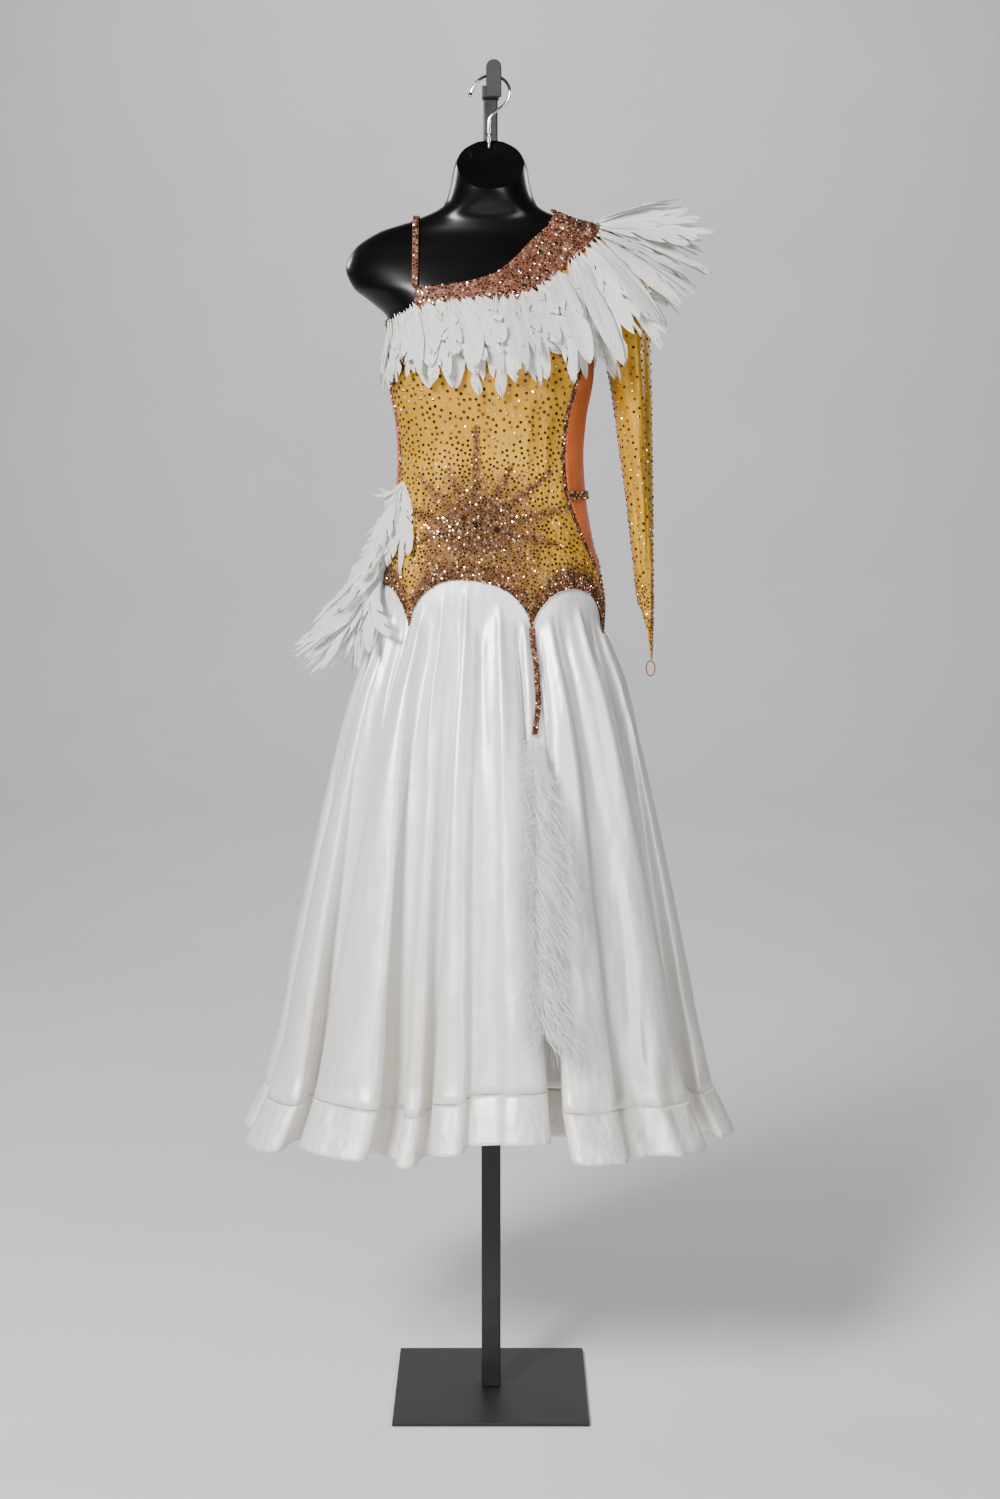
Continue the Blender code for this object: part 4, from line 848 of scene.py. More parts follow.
def bodice_top(left):
    """The upper edge, from the bare side along the band to the shoulder seam."""
    start, band_end = (left, MESH_TOP + 0.010), band_edges(0.0)[0]
    top = [blend(start, band_end, i / UNDERARM_COLUMNS) for i in range(UNDERARM_COLUMNS)]
    top += [band_edges(i / BAND_COLUMNS)[0] for i in range(BAND_COLUMNS)]
    seam_in = (SHOULDER_SEAM, band_edges(1.0)[0][1])
    seam_out = (SHOULDER_SEAM, ARMHOLE[-1].height)
    top += [blend(seam_in, seam_out, i / SHOULDER_COLUMNS) for i in range(SHOULDER_COLUMNS + 1)]
    return top


front_rows = bodice_rows(lambda h: front_edge(h, -1) + PANEL_GAP,
                         lambda h: front_edge(h, 1) - PANEL_GAP, hip_edge)
back_rows = bodice_rows(lambda h: -180.0 - back_edge(h, -1) + PANEL_GAP,
                        lambda h: 180.0 - back_edge(h, 1) - PANEL_GAP,
                        lambda angle: hip_edge(180.0 - angle))
back_rows = [[(180.0 - angle, height) for angle, height in reversed(row)] for row in back_rows]
print(len(front_rows), "rows of", len(front_rows[0]), "points in a panel")

# %% [markdown]
# Stretch satin on a form is almost smooth. What shows is a few long soft ridges where it is
# pulled between the bust and the waist, and short ones that start at the armhole and at the
# side seams. Each ridge is a row in a table: where it is widest, how it leans, its height.

# %%
RIDGES = table("angle height lean length width rise", [
    (-18.0, 1.52, -10.0, 0.075, 2.6, 0.0016),
    (-5.0, 1.505, 4.0, 0.085, 2.2, 0.0018),
    (6.0, 1.53, 12.0, 0.07, 2.8, 0.0014),
    (21.0, 1.5, 18.0, 0.08, 2.4, 0.0017),
    (34.0, 1.475, 24.0, 0.07, 3.0, 0.0014),
    (-33.0, 1.49, -20.0, 0.08, 3.0, 0.0015),
    (-50.0, 1.455, -30.0, 0.06, 2.6, 0.0012),
    (47.0, 1.64, -120.0, 0.045, 3.0, 0.0018),
    (42.0, 1.61, -160.0, 0.05, 3.2, 0.0015),
    (155.0, 1.51, 10.0, 0.08, 2.6, 0.0016),
    (172.0, 1.49, -6.0, 0.085, 2.4, 0.0018),
    (190.0, 1.52, 8.0, 0.075, 2.8, 0.0015),
    (209.0, 1.48, -14.0, 0.08, 2.6, 0.0016),
    (226.0, 1.5, -24.0, 0.065, 3.0, 0.0013),
    (136.0, 1.63, 130.0, 0.045, 3.0, 0.0017),
])


def satin_lift(angle, height):
    """How far the bodice's soft ridges stand out here."""
    total = 0.0
    for ridge in RIDGES:
        run = height - ridge.height
        if abs(run) < 2.2 * ridge.length:
            off = (angle - ridge.angle - ridge.lean * run) / ridge.width
            total += ridge.rise * math.exp(-off * off - (run / ridge.length) ** 2)
    return total


def on_bodice(angle, height, above=0.0):
    """A point on the bodice's outer face, or above it."""
    return on_form(angle, height, ease(height) + CLOTH + satin_lift(angle, height) + above)


def lay_rows(rows, place):
    """A lay function that reads rows of pairs."""
    high, wide = len(rows) - 1, len(rows[0]) - 1
    return lambda u, v: place(*rows[round(v * high)][round(u * wide)])


def panel(name, rows, place, look, thickness=CLOTH):
    made = laid_grid(name, len(rows[0]) - 1, len(rows) - 1, lay_rows(rows, place), look)
    thicken(made, thickness)
    return made


bodice_front = panel("satin_front", front_rows, on_bodice, LOOK["gold_satin"])
seat(bodice_front, "gold_satin", "bodice_front")
bodice_back = panel("satin_back", back_rows, on_bodice, LOOK["gold_satin"])
seat(bodice_back, "gold_satin", "bodice_back")
print("bodice", [len(made.data.polygons) for made in (bodice_front, bodice_back)], "faces")

# %% [markdown]
# The mesh inserts are cut as lenses. They are laid at the same height as the satin, and a
# narrow stoned tab crosses each at the waist like a belt.

# %%
TAB_LOW, TAB_HIGH, TAB_LIFT = 1.397, 1.410, 0.0022


def insert_rows(side, low, high, rows, columns, reach):
    """Rows across a side insert, which reach past its edges or stay inside them."""
    found = []
    for i in range(rows + 1):
        height = blend(low, high, i / rows)
        first, last = sorted((front_edge(height, side), back_edge(height, side)))
        found.append([(blend(first - reach, last + reach, c / columns), height)
                      for c in range(columns + 1)])
    return found


def mesh_rows(side):
    return insert_rows(side, MESH_EDGE[0].height, MESH_TOP, 60, 20, -INSERT_GAP)


def tab_rows(side):
    return insert_rows(side, TAB_LOW, TAB_HIGH, 3, 40, 2.5)


def on_tab(angle, height):
    """A point of a tab's outer face, clear of the mesh and of the satin's edges."""
    return on_bodice(angle, height, TAB_LIFT + CLOTH)


side_pieces = []
for name, side in (("right", 1), ("left", -1)):
    insert = panel(f"mesh_{name}", mesh_rows(side), on_bodice, LOOK["rust_mesh"])
    seat(insert, "rust_mesh", f"side_mesh_{name}")
    tab = panel(f"tab_{name}", tab_rows(side), on_tab, LOOK["stoned_band"])
    seat(tab, "stoned_band", f"belt_tab_{name}")
    side_pieces += [insert, tab]
print("side pieces", [piece.name for piece in side_pieces])

# %% [markdown]
# ## The skirt
#
# Six satin gores hang from the arches. Each is narrow at the hip and wide at the hem, so the
# cloth falls in soft folds that start under the arches and open downwards. The folds' places
# are a table: the valley before each crest, the crest, how far each swings out and in, how much
# the fold leans over into a loop, and how low the hem hangs there.

# %%
SKIRT_FLARE = table("height reach", [
    (0.4, 0.2),
    (0.455, 0.186),
    (0.523, 0.163),
    (0.6, 0.146),
    (0.695, 0.129),
    (0.866, 0.096),
    (1.043, 0.058),
    (1.126, 0.035),
    (1.189, 0.012),
    (1.235, 0.001),
    (1.3, 0.0),
])
SKIRT_HIP = 1.205
HEM_DEPTH = 0.066
FOLDS = table("valley crest reach depth overlap hem", [
    (-104.0, -92.0, 0.016, 0.045, 0.012, 0.446),
    (-79.0, -65.0, 0.02, 0.044, 0.016, 0.45),
    (-53.0, -36.5, 0.022, 0.05, 0.022, 0.473),
    (-25.5, -20.0, -0.022, 0.05, 0.006, 0.455),
    (-14.8, -8.0, 0.01, 0.06, 0.012, 0.485),
    (-2.2, 6.5, 0.016, 0.01, 0.012, 0.5),
    (16.0, 26.0, 0.02, 0.066, 0.018, 0.47),
    (35.0, 50.0, 0.022, 0.004, 0.01, 0.462),
    (65.0, 75.5, 0.012, 0.042, 0.014, 0.455),
    (86.5, 98.0, 0.006, 0.046, 0.012, 0.45),
    (111.0, 123.0, 0.024, 0.044, 0.014, 0.456),
    (136.0, 147.5, 0.018, 0.05, 0.014, 0.448),
    (159.0, 171.0, 0.026, 0.046, 0.014, 0.46),
    (183.0, 194.0, 0.018, 0.052, 0.012, 0.45),
    (206.0, 218.0, 0.026, 0.044, 0.016, 0.458),
    (231.0, 243.0, 0.02, 0.048, 0.014, 0.452),
])
FOLD_DROP, FOLD_LOOP = 0.065, 1.65
SKIRT_REACH = column(SKIRT_FLARE, "height", "reach")


def fold_curves():
    keys, swing, hems = [], [], []
    for turn in (-360.0, 0.0, 360.0):
        for fold in FOLDS:
            keys += [fold.valley + turn, fold.crest + turn]
            swing += [-fold.depth, fold.reach]
            hems.append((fold.crest + turn, fold.hem))
    return Smooth(keys, swing), Smooth([k for k, _ in hems], [v for _, v in hems])


FOLD_SWING, HEM_HEIGHT = fold_curves()


def fold_overlap(angle):
    """Sideways swing that opens each fold of the hem into a loop, in metres."""
    angle = (angle - FOLDS[0].valley) % 360.0 + FOLDS[0].valley
    for fold, after in zip(FOLDS, FOLDS[1:] + FOLDS[:1]):
        end = after.valley if after is not FOLDS[0] else after.valley + 360.0
        if angle <= end:
            rising = angle <= fold.crest
            span = fold.crest - fold.valley if rising else end - fold.crest
            drop = fold.reach + (fold.depth if rising else after.depth)
            phase = (angle - fold.crest) / span
            return fold.overlap * max(drop, 0.0) / FOLD_DROP * math.sin(2 * math.pi * phase)
    return 0.0


print(len(FOLDS), "folds round the hem")

# %% [markdown]
# Besides its big folds, satin has small ones. Long shallow gathers come from the arches, and
# they are deepest just under the scallop points, where the bodice pulls on the cloth. Near the
# hem band there are low dents, because the band is stiffer than the satin above it. All of
# these only move the cloth by a few millimetres.

# %%
GATHERS = table("angle drift width rise start end", [
    (-34.0, -5.0, 1.7, 0.003, 0.02, 0.6),
    (-27.0, -3.0, 1.3, -0.0028, 0.02, 0.5),
    (-21.5, -1.5, 1.1, 0.0024, 0.02, 0.42),
    (-13.0, 0.5, 1.0, -0.0036, 0.0, 0.7),
    (-9.5, 0.5, 1.1, 0.003, 0.0, 0.75),
    (-3.0, 1.5, 1.2, -0.0022, 0.02, 0.45),
    (3.0, 2.5, 1.5, 0.0026, 0.02, 0.55),
    (11.0, 2.0, 1.0, -0.0034, 0.01, 0.5),
    (14.5, 1.0, 0.9, 0.003, 0.01, 0.45),
    (22.0, 1.5, 1.0, -0.0032, 0.01, 0.42),
    (27.0, 3.0, 1.5, 0.0028, 0.02, 0.6),
    (36.0, 4.0, 1.6, -0.0026, 0.02, 0.5),
    (47.0, 5.0, 2.0, 0.003, 0.02, 0.65),
    (58.0, 6.0, 1.7, -0.0028, 0.02, 0.55),
    (68.0, 5.0, 1.4, 0.0028, 0.02, 0.5),
    (74.5, 2.0, 1.0, -0.003, 0.01, 0.45),
    (84.0, 3.0, 1.2, 0.0028, 0.01, 0.5),
    (97.0, 4.0, 1.8, -0.003, 0.02, 0.6),
    (110.0, 3.0, 1.8, 0.0026, 0.02, 0.5),
    (124.0, 3.0, 1.6, -0.003, 0.02, 0.55),
    (133.0, 1.0, 1.0, 0.003, 0.01, 0.45),
    (143.0, 1.5, 1.2, -0.0032, 0.01, 0.5),
    (156.0, 3.0, 1.8, 0.003, 0.02, 0.6),
    (170.0, 1.0, 1.6, -0.0028, 0.02, 0.55),
    (184.0, -2.0, 1.6, 0.0028, 0.02, 0.5),
    (194.0, -1.5, 1.0, -0.0034, 0.01, 0.5),
    (203.0, 1.0, 1.2, 0.003, 0.01, 0.55),
    (217.0, 2.0, 1.8, -0.0028, 0.02, 0.6),
    (230.0, -2.0, 1.8, 0.003, 0.02, 0.55),
    (243.0, -3.0, 1.5, -0.003, 0.02, 0.5),
    (253.5, -1.0, 1.0, 0.003, 0.01, 0.45),
    (263.0, 2.0, 1.2, -0.003, 0.01, 0.5),
    (277.0, 3.0, 1.8, 0.0028, 0.02, 0.6),
    (291.0, 2.0, 1.8, -0.0026, 0.02, 0.55),
    (305.0, -3.0, 1.6, 0.003, 0.02, 0.55),
    (313.0, -1.0, 1.0, -0.0032, 0.01, 0.5),
])
GATHER_RISE = 2.6


def turned(angle, centre):
    """The difference of two angles, between -180 and 180 degrees."""
    return (angle - centre + 180.0) % 360.0 - 180.0


def small_folds(angle, share):
    total = 0.0
    for gather in GATHERS:
        off = turned(angle, gather.angle + gather.drift * share) / (gather.width * (1 + share))
        if abs(off) < 2.6:
            fade = ramp(share, gather.start, gather.start + 0.05)
            fade *= 1 - ramp(share, gather.end * 0.5, gather.end)
            total += gather.rise * GATHER_RISE * fade * math.exp(-off * off)
    low = ramp(share, 0.55, 0.95)
    slow = math.sin(math.radians(angle) * 23.0 + 2.2 * math.sin(share * 5.0))
    quick = math.sin(math.radians(angle) * 61.0 + 9.0 * share)
    dents = math.sin(math.radians(angle) * 37.0 + 1.0) * math.sin(share * 26.0 + angle * 0.09)
    return total + low * (0.0016 * slow + 0.0007 * quick) + 0.0022 * dents * low


def skirt_height(angle, share):
    """Height on the skirt: share 0 is the hip seam, 1 the hem seam, and 2 the hem's edge."""
    top, seam = hip_edge(angle), HEM_HEIGHT(angle) + HEM_DEPTH
    if share <= 1.0:
        return top + (seam - top) * share
    return seam - (share - 1.0) * HEM_DEPTH


HIP_LINE = {}


def hip_line(angle):
    """The skirt's base where it leaves the hips, kept because many points use it."""
    key = round(angle * 64)
    if key not in HIP_LINE:
        HIP_LINE[key] = on_form(key / 64, SKIRT_HIP, EASE)
    return HIP_LINE[key].copy()


def skirt_point(angle, share, above=0.0):
    """A point of the skirt's inner side, or above it along a level line from the pole."""
    height = skirt_height(angle, share)
    turn = math.radians(angle)
    out = Vector((math.sin(turn), -math.cos(turn), 0.0))
    along = Vector((math.cos(turn), math.sin(turn), 0.0))
    if height > SKIRT_HIP:
        base = on_form(angle, height, EASE)
    else:
        base = hip_line(angle)
        base.z = height
    fullness = min(max(share, 0.0), 1.0) ** 1.15
    start = 1 - math.exp(-max(share - 0.010, 0.0) / 0.030)
    kick = 0.010 * max(share - 1.0, 0.0)
    swing = FOLD_SWING(angle) * fullness * (1 + 0.10 * max(share - 1.0, 0.0))
    swing += max(small_folds(angle, min(share, 1.0)), -0.4 * SKIRT_REACH(height)) * start
    sideways = fold_overlap(angle) * fullness * FOLD_LOOP
    return base + out * (SKIRT_REACH(height) * start + swing + kick + above) + along * sideways


print("skirt at the front hem", [round(c, 3) for c in skirt_point(0.0, 1.5)])

# %% [markdown]
# Each gore is laid with sixty-odd columns. The rows are closer together near the hip, where the
# arches need them. The hem band is stiffened satin: it is laid like the gore, but both of its
# edges are low rolls, and a groove runs below the seam, where stitches hold it.

# %%
GORE_COLUMNS, GORE_ROWS, BAND_ROWS = 66, 84, 12
GORE_CLOTH, HEM_CLOTH, HEM_ROLL, GORE_GAP = 0.0010, 0.0013, 0.0004, 0.055


def gore_angle(index, u):
    """Angles of a gore, with a hair's breadth left for each seam."""
    start = SCALLOPS[index].angle
    return blend(start + GORE_GAP, start + SCALLOP_SPAN - GORE_GAP, u)


def gore_lay(index):
    def lay(u, v):
        share = -0.004 + (1.0002 + 0.003) * (1 - v) ** 1.45
        return skirt_point(gore_angle(index, u), share, CLOTH)
    return lay


def band_lay(index):
    def lay(u, v):
        share = 2.0 - (1.0 - SEAM / HEM_DEPTH) * v
        roll = HEM_ROLL * (math.exp(-((share - 1.03) / 0.02) ** 2)
                           + math.exp(-((share - 1.97) / 0.03) ** 2)
                           - 0.8 * math.exp(-((share - 1.09) / 0.015) ** 2))
        return skirt_point(gore_angle(index, u), share, CLOTH + roll)
    return lay


gores, hems = [], []
for index in range(len(SCALLOPS)):
    for pieces, name, node, rows, lay, wall in (
            (gores, "gore", "skirt_gore", GORE_ROWS, gore_lay, GORE_CLOTH),
            (hems, "hem", "hem_band", BAND_ROWS, band_lay, HEM_CLOTH)):
        made = laid_grid(f"{name}_{index + 1}", GORE_COLUMNS, rows, lay(index),
                         LOOK["white_satin"])
        thicken(made, wall)
        pieces.append(seat(made, "white_satin", f"{node}_{index + 1}"))
print(len(gores), "gores and", len(hems), "hem bands")

# %% [markdown]
# ## The neck band, the strap and the strip
#
# The band is stiff and lies on the shoulder from the strap round to the back. Its front and
# back halves meet on the shoulder seam. It is laid between its two edges, a little thicker than
# the satin. The strap is a narrow ribbon that leaves the band's end, clears the bare shoulder
# and comes down to the back half. The strip hangs from the middle scallop point, over the seam
# between two gores, so it has to clear the cloth on both sides of it.

# %%
BAND_CLOTH = 0.0024
STRAP_X, STRAP_WIDTH = -0.1075, 0.009


def band_rows(mirror, wide=110, high=10):
    rows = []
    for i in range(high + 1):
        row = []
        for c in range(wide + 1):
            low, first = band_edges(c / wide)
            angle, height = blend((low[0], low[1] + SEAM), first, i / high)
            angle -= 0.1 if c == wide else 0.0
            row.append((180.0 - angle if mirror else angle, height))
        rows.append(row[::-1] if mirror else row)
    return rows


def on_band(angle, height, above=0.0):
    return on_form(angle, height, ease(height) + BAND_CLOTH + above)


bands = {}
for name, mirror in (("front", False), ("back", True)):
    band = panel(f"band_{name}", band_rows(mirror), on_band, LOOK["stoned_band"], BAND_CLOTH)
    bands[name] = seat(band, "stoned_band", f"neck_band_{name}")


def push_clear(tree, point, distance):
    """Move a point out of a surface, or to a distance from it if it is nearer."""
    spot, normal, _, gap = tree.find_nearest(point)
    if (point - spot).dot(normal) < 0 or gap < distance:
        return spot + normal * distance
    return point


def plane_point(x, height, facing, lift):
    """Where the form's outline at a height meets the plane of that x, in front or behind."""
    half, power = FORM_HALF_WIDTH(height), FORM_SQUARENESS(height)
    deep = (1 - min(abs(x) / half, 0.999) ** power) ** (1 / power)
    angle = math.degrees(math.atan2(signed_power(x / half, power / 2), deep ** (power / 2)))
    return on_form(180.0 - angle if facing > 0 else angle, height, lift)


def strap_points(steps=64, lift=0.0022, top=1.8060, cuts=12):
    low = NECK_BAND[0].high_height + 0.002
    heights = [low + (top - low) * (1 - (1 - i / cuts) ** 2.0) for i in range(cuts + 1)]
    path = [plane_point(STRAP_X, h, -1, lift) for h in heights]
    path += [plane_point(STRAP_X, h, 1, lift) for h in reversed(heights)]
    found = []
    for i in range(steps + 1):
        at = i / steps * (len(path) - 1)
        index = min(int(at), len(path) - 2)
        spot = path[index].lerp(path[index + 1], at - index)
        found.append(push_clear(torso_tree, spot, 0.0030))
    for _ in range(3):
        middle = [(a + b * 2 + c) / 4 for a, b, c in zip(found, found[1:], found[2:])]
        found = [found[0]] + [push_clear(torso_tree, p, 0.0029) for p in middle] + [found[-1]]
    return found


STRAP_PATH = strap_points()


def strap_frame(at):
    """A point on the strap's upper side, and the directions along and out of it."""
    index = min(max(int(at), 0), len(STRAP_PATH) - 2)
    spot = STRAP_PATH[index].lerp(STRAP_PATH[index + 1], at - index)
    first, last = max(index - 1, 0), min(index + 2, len(STRAP_PATH) - 1)
    along = (STRAP_PATH[last] - STRAP_PATH[first]).normalized()
    out = along.cross(Vector((-1.0, 0.0, 0.0))).normalized()
    return spot + out * CLOTH, along, out


def strap_lay(u, v):
    spot = strap_frame(u * (len(STRAP_PATH) - 1))[0]
    return spot + Vector((STRAP_WIDTH * (v - 0.5), 0.0, 0.0))


strap = laid_grid("strap_ribbon", len(STRAP_PATH) - 1, 4, lambda u, v: strap_lay(u, 1 - v),
                  LOOK["stoned_band"])
thicken(strap, CLOTH)
face_out(strap)
seat(strap, "stoned_band", "strap")

STRIP_HALF, STRIP_CLOTH, STRIP_DRIFT = 0.0042, 0.0020, 2.6
STRIP_TOP, STRIP_LOW, STRIP_RUN = 1.2070, 1.0620, 0.150


def skirt_share(angle, height):
    """The share of the skirt that has this height at an angle."""
    top, seam = hip_edge(angle), HEM_HEIGHT(angle) + HEM_DEPTH
    return (top - height) / (top - seam)


def skirt_normal(angle, share):
    step = skirt_point(angle + 0.4, share) - skirt_point(angle - 0.4, share)
    fall = skirt_point(angle, share + 0.01) - skirt_point(angle, share - 0.01)
    return fall.cross(step).normalized()


def strip_foot(down):
    """The strip's middle at a share of its own length, clear of the gores on both sides."""
    angle = SCALLOPS[1].angle - STRIP_DRIFT * down
    height = blend(STRIP_TOP, STRIP_LOW, down)
    share = skirt_share(angle, height)
    centre = skirt_point(angle, share)
    normal = (skirt_normal(angle - 0.8, share) + skirt_normal(angle + 0.8, share))
    normal.normalize()
    lift = CLOTH
    for near in (-2.4, -1.6, -0.8, 0.8, 1.6, 2.4):
        side = skirt_share(angle + near, height)
        beside = skirt_point(angle + near, side)
        beside += skirt_normal(angle + near, side) * CLOTH
        lift = max(lift, (beside - centre).dot(normal))
    turn = math.radians(angle)
    return (centre + normal * (lift + 0.0014), normal,
            Vector((math.cos(turn), math.sin(turn), 0.0)))


def strip_lay(u, v):
    foot, normal, across = strip_foot(1 - 1.04 * v)
    return foot + normal * STRIP_CLOTH + across * (2 * u - 1) * STRIP_HALF


strip = laid_grid("strip_ribbon", 4, 40, strip_lay, LOOK["stoned_band"])
thicken(strip, STRIP_CLOTH)
face_out(strip)
seat(strip, "stoned_band", "drop_strip")
strap_length = sum((b - a).length for a, b in zip(STRAP_PATH, STRAP_PATH[1:]))
print("strap length", round(strap_length, 3))

# %% [markdown]
# ## One stone, and where its copies go
#
# The rhinestones are flat-backed cut glass: a girdle, a ring of facets that slopes in, and a
# flat table on top. The small one is modelled from a cone with six sides. Its copies are placed
# by throwing points at the cloth one at a time and keeping those that are far enough from the
# ones already kept, so the rows stay uneven, as they are when stones are glued by hand.

# %%
def stone_finish():
    """Foiled glass, whose tone runs from dark topaz to pale gold; the pale end is partly a painted
    glint.
    """
    made = Finish("topaz_stone", Metallic=0.85, Coat_Weight=0.6, Coat_Roughness=0.03)
    tone = made.place.node("ShaderNodeAttribute", output=2, attribute_name="tone")
    cloud = made.noise(700.0, 1.0)
    dark = tone.step(0.0, 0.5).mix((0.022, 0.006, 0.004), (0.27, 0.078, 0.036))
    # painted glint: the pale end is partly the stones' pale gold and partly a painted glint
    colour = tone.step(0.5, 1.0).mix(dark, (0.98, 0.70, 0.50))
    made.set("Base Color", cloud.step(0.2, 0.9).mix(colour, tone.mix((0.07, 0.020, 0.010),
                                                                    (0.85, 0.48, 0.33))))
    made.set("Roughness", 0.10 + cloud * 0.10)
    return made.material


LOOK["topaz_stone"] = stone_finish()


def cut_glass(blank, height, layers):
    """Grow a blank's top in layers of (share of its width, rise, turn), and open its back."""
    def select(side):
        made = bmesh.from_edit_mesh(blank.data)
        for face in made.faces:
            face.select = face.normal.z * side > 0.9

    bpy.ops.object.mode_set(mode="EDIT")
    bpy.ops.mesh.select_all(action="DESELECT")
    select(1)
    for inner, rise, turn in layers:
        height += rise
        bpy.ops.mesh.extrude_region_move(TRANSFORM_OT_translate={"value": (0, 0, rise)})
        bpy.ops.transform.resize(value=(inner, inner, 1.0), center_override=(0, 0, height))
        if turn:
            bpy.ops.transform.rotate(value=math.radians(turn), orient_axis="Z",
                                     center_override=(0, 0, height))
    select(-1)
    bpy.ops.mesh.delete(type="FACE")
    bpy.ops.object.mode_set(mode="OBJECT")
    return model_arrays(blank)


GIRDLE = 0.16
TINY_RADIUS, CLOSE_RADIUS, LOOSE_RADII, STONE_SINK = 0.0013, 0.0020, (0.0024, 0.0029), -0.0001
bpy.ops.mesh.primitive_cone_add(vertices=6, radius1=1.0, radius2=0.96, depth=GIRDLE,
                                location=(0, 0, GIRDLE / 2))
SMALL_STONE = cut_glass(bpy.context.object, GIRDLE, [(0.60, 0.42, 0.0)])
print("stone triangles", len(SMALL_STONE[1]))


class Scatter:
    """Stones kept apart from one another, in one joined mesh."""

    def __init__(self, seed):
        self.dice = random.Random(seed)
        self.cells = {}
        self.frames = []
        self.tones = []

    def cell(self, spot, size=0.012):
        return tuple(int(c // size) for c in spot)

    def free(self, spot, gap, radius):
        """Whether no stone's middle is within the gap of a spot, and none touches it."""
        a, b, c = self.cell(spot)
        for key in ((a + x, b + y, c + z) for x in (-1, 0, 1) for y in (-1, 0, 1)
                    for z in (-1, 0, 1)):
            for other, reach in self.cells.get(key, ()):
                if (other - spot).length < max(gap, 0.97 * (reach + radius)):
                    return False
        return True

    def put(self, spot, out, radius, tone, tilt=0.20):
        """Add a stone, leaning a little at random."""
        dice = self.dice
        lean = Vector([dice.gauss(0.0, tilt) for _ in range(3)])
        out = (out + lean).normalized()
        turn = Vector([dice.gauss(0.0, 1.0) for _ in range(3)])
        across = turn.cross(out).normalized()
        self.frames.append((spot, across, out.cross(across), out, radius))
        self.tones.append(min(max(tone + dice.gauss(0.0, 0.10), 0.0), 1.0))
        self.cells.setdefault(self.cell(spot), []).append((spot.copy(), radius))

    def fill(self, places, gap_at, place, close=0.0050, pale=0.22, dark=0.47):
        """Two passes over a panel: full-sized stones, then small ones where they are close."""
        dice = self.dice
        for small in (False, True):
            for angle, height in places:
                gap = gap_at(angle, height) * dice.uniform(0.92, 1.10)
                dense = gap < close
                if small and not dense:
                    continue
                radius = TINY_RADIUS if small else CLOSE_RADIUS
                if not dense:
                    radius = blend(*LOOSE_RADII, ramp(gap, 0.006, 0.009))
                spot = place(angle, height, STONE_SINK)
                if self.free(spot, 0.0 if small else gap, radius):
                    out = form_normal(angle, height)
                    tone = tone_of(dice, pale, dark) if dense else tone_of(dice, 0.16, 0.70)
                    self.put(spot, out, radius, tone)

    def make(self, name, model):
        points, triangles = copies(model, self.frames)
        tone = np.repeat(np.array(self.tones), len(model[0]))
        # a jewel model carries facet tones, some of them painted flashes of reflection
        if len(model) > 2:
            tone = np.clip(tone + np.tile(model[2], len(self.frames)), 0.0, 1.0)
        made = joined(name, points, triangles, LOOK["topaz_stone"], tone=tone)
        print(name, len(self.frames), "stones,", len(triangles), "triangles")
        return made


def tone_of(dice, pale=0.30, dark=0.22):
    """Mostly copper, with some dark ones and some pale gold ones, whose paleness is partly a
    painted glint.
    """
    roll = dice.random()
    return 0.98 if roll < pale else (0.06 if roll > 1 - dark else 0.5)

# %% [markdown]
# On the bodice the stones are sparse on the chest and close together round the waist, where a
# generic sunburst of straight rays is laid out by formula. They are closest along the scalloped
# edge, and along the side panels. The map below gives the space between neighbours at a place.

# %%
BURST = (-7.0, 1.357)
RAYS = [0.0, 26.0, -26.0, 52.0, -52.0, 78.0, -78.0, 104.0, -104.0]
RAY_REACH = [0.150, 0.100, 0.100, 0.140, 0.125, 0.150, 0.150, 0.125, 0.125]
DEGREE = 0.0024
HEM_BORDER, SIDE_BORDER, BORDER_GAP = 0.026, 0.0095, 0.0037


def lens_gap(angle, height):
    """How far a place is from the nearest side insert, in metres."""
    found = 1.0
    for side in (1, -1):
        middle = side * MESH_MIDDLE - TWIST
        off = abs(turned(angle, middle))
        edge = abs(turned(front_edge(height, side), middle)) if height < MESH_TOP else 0.0
        found = min(found, (off - edge) * DEGREE)
    return found


def burst_share(angle, height, start=BURST):
    """One on a ray or near the middle of the sunburst, falling to nothing between the rays."""
    across, up = turned(angle, start[0]) * DEGREE, height - start[1]
    away = math.hypot(across, up)
    heading = math.degrees(math.atan2(across, up))
    best = 1 - ramp(away, 0.022, 0.070)
    for ray, reach in zip(RAYS, RAY_REACH):
        off = math.radians(abs(turned(heading, ray))) * away
        width = 0.0055 * (1 - 0.80 * away / reach) + 0.0012
        if away < reach and off < 2 * width:
            best = max(best, (1 - ramp(off, 0.35 * width, 2 * width)) * (1 - 0.5 * away / reach))
    halo = 1 - ramp(away, 0.050, 0.135)
    return best, halo


def front_gap(angle, height):
    """Space between neighbouring stones on the front panel."""
    drop = height - hip_edge(angle)
    gap = blend(0.0066, 0.0090, ramp(height, 1.43, 1.60))
    best, halo = burst_share(angle, height)
    gap = blend(gap, 0.0047, halo)
    if drop < 0.100:  # the hips, closest below the burst
        gap = min(gap, blend(0.0044, 0.0062, ramp(abs(turned(angle, BURST[0])), 20.0, 46.0)))
    if best > 0.02:
        gap = min(gap, blend(0.0050, 0.0035, best))
    if drop < HEM_BORDER:
        gap = min(gap, BORDER_GAP)
    elif drop < 2 * HEM_BORDER:
        gap = min(gap, blend(0.0046, 0.0064, (drop - HEM_BORDER) / HEM_BORDER))
    if angle < -39.0 and height > 1.600 + 0.0012 * (angle + 39.0):  # under the bare arm
        gap = BORDER_GAP
    if lens_gap(angle, height) < SIDE_BORDER:
        gap = min(gap, 0.0038)
    return gap


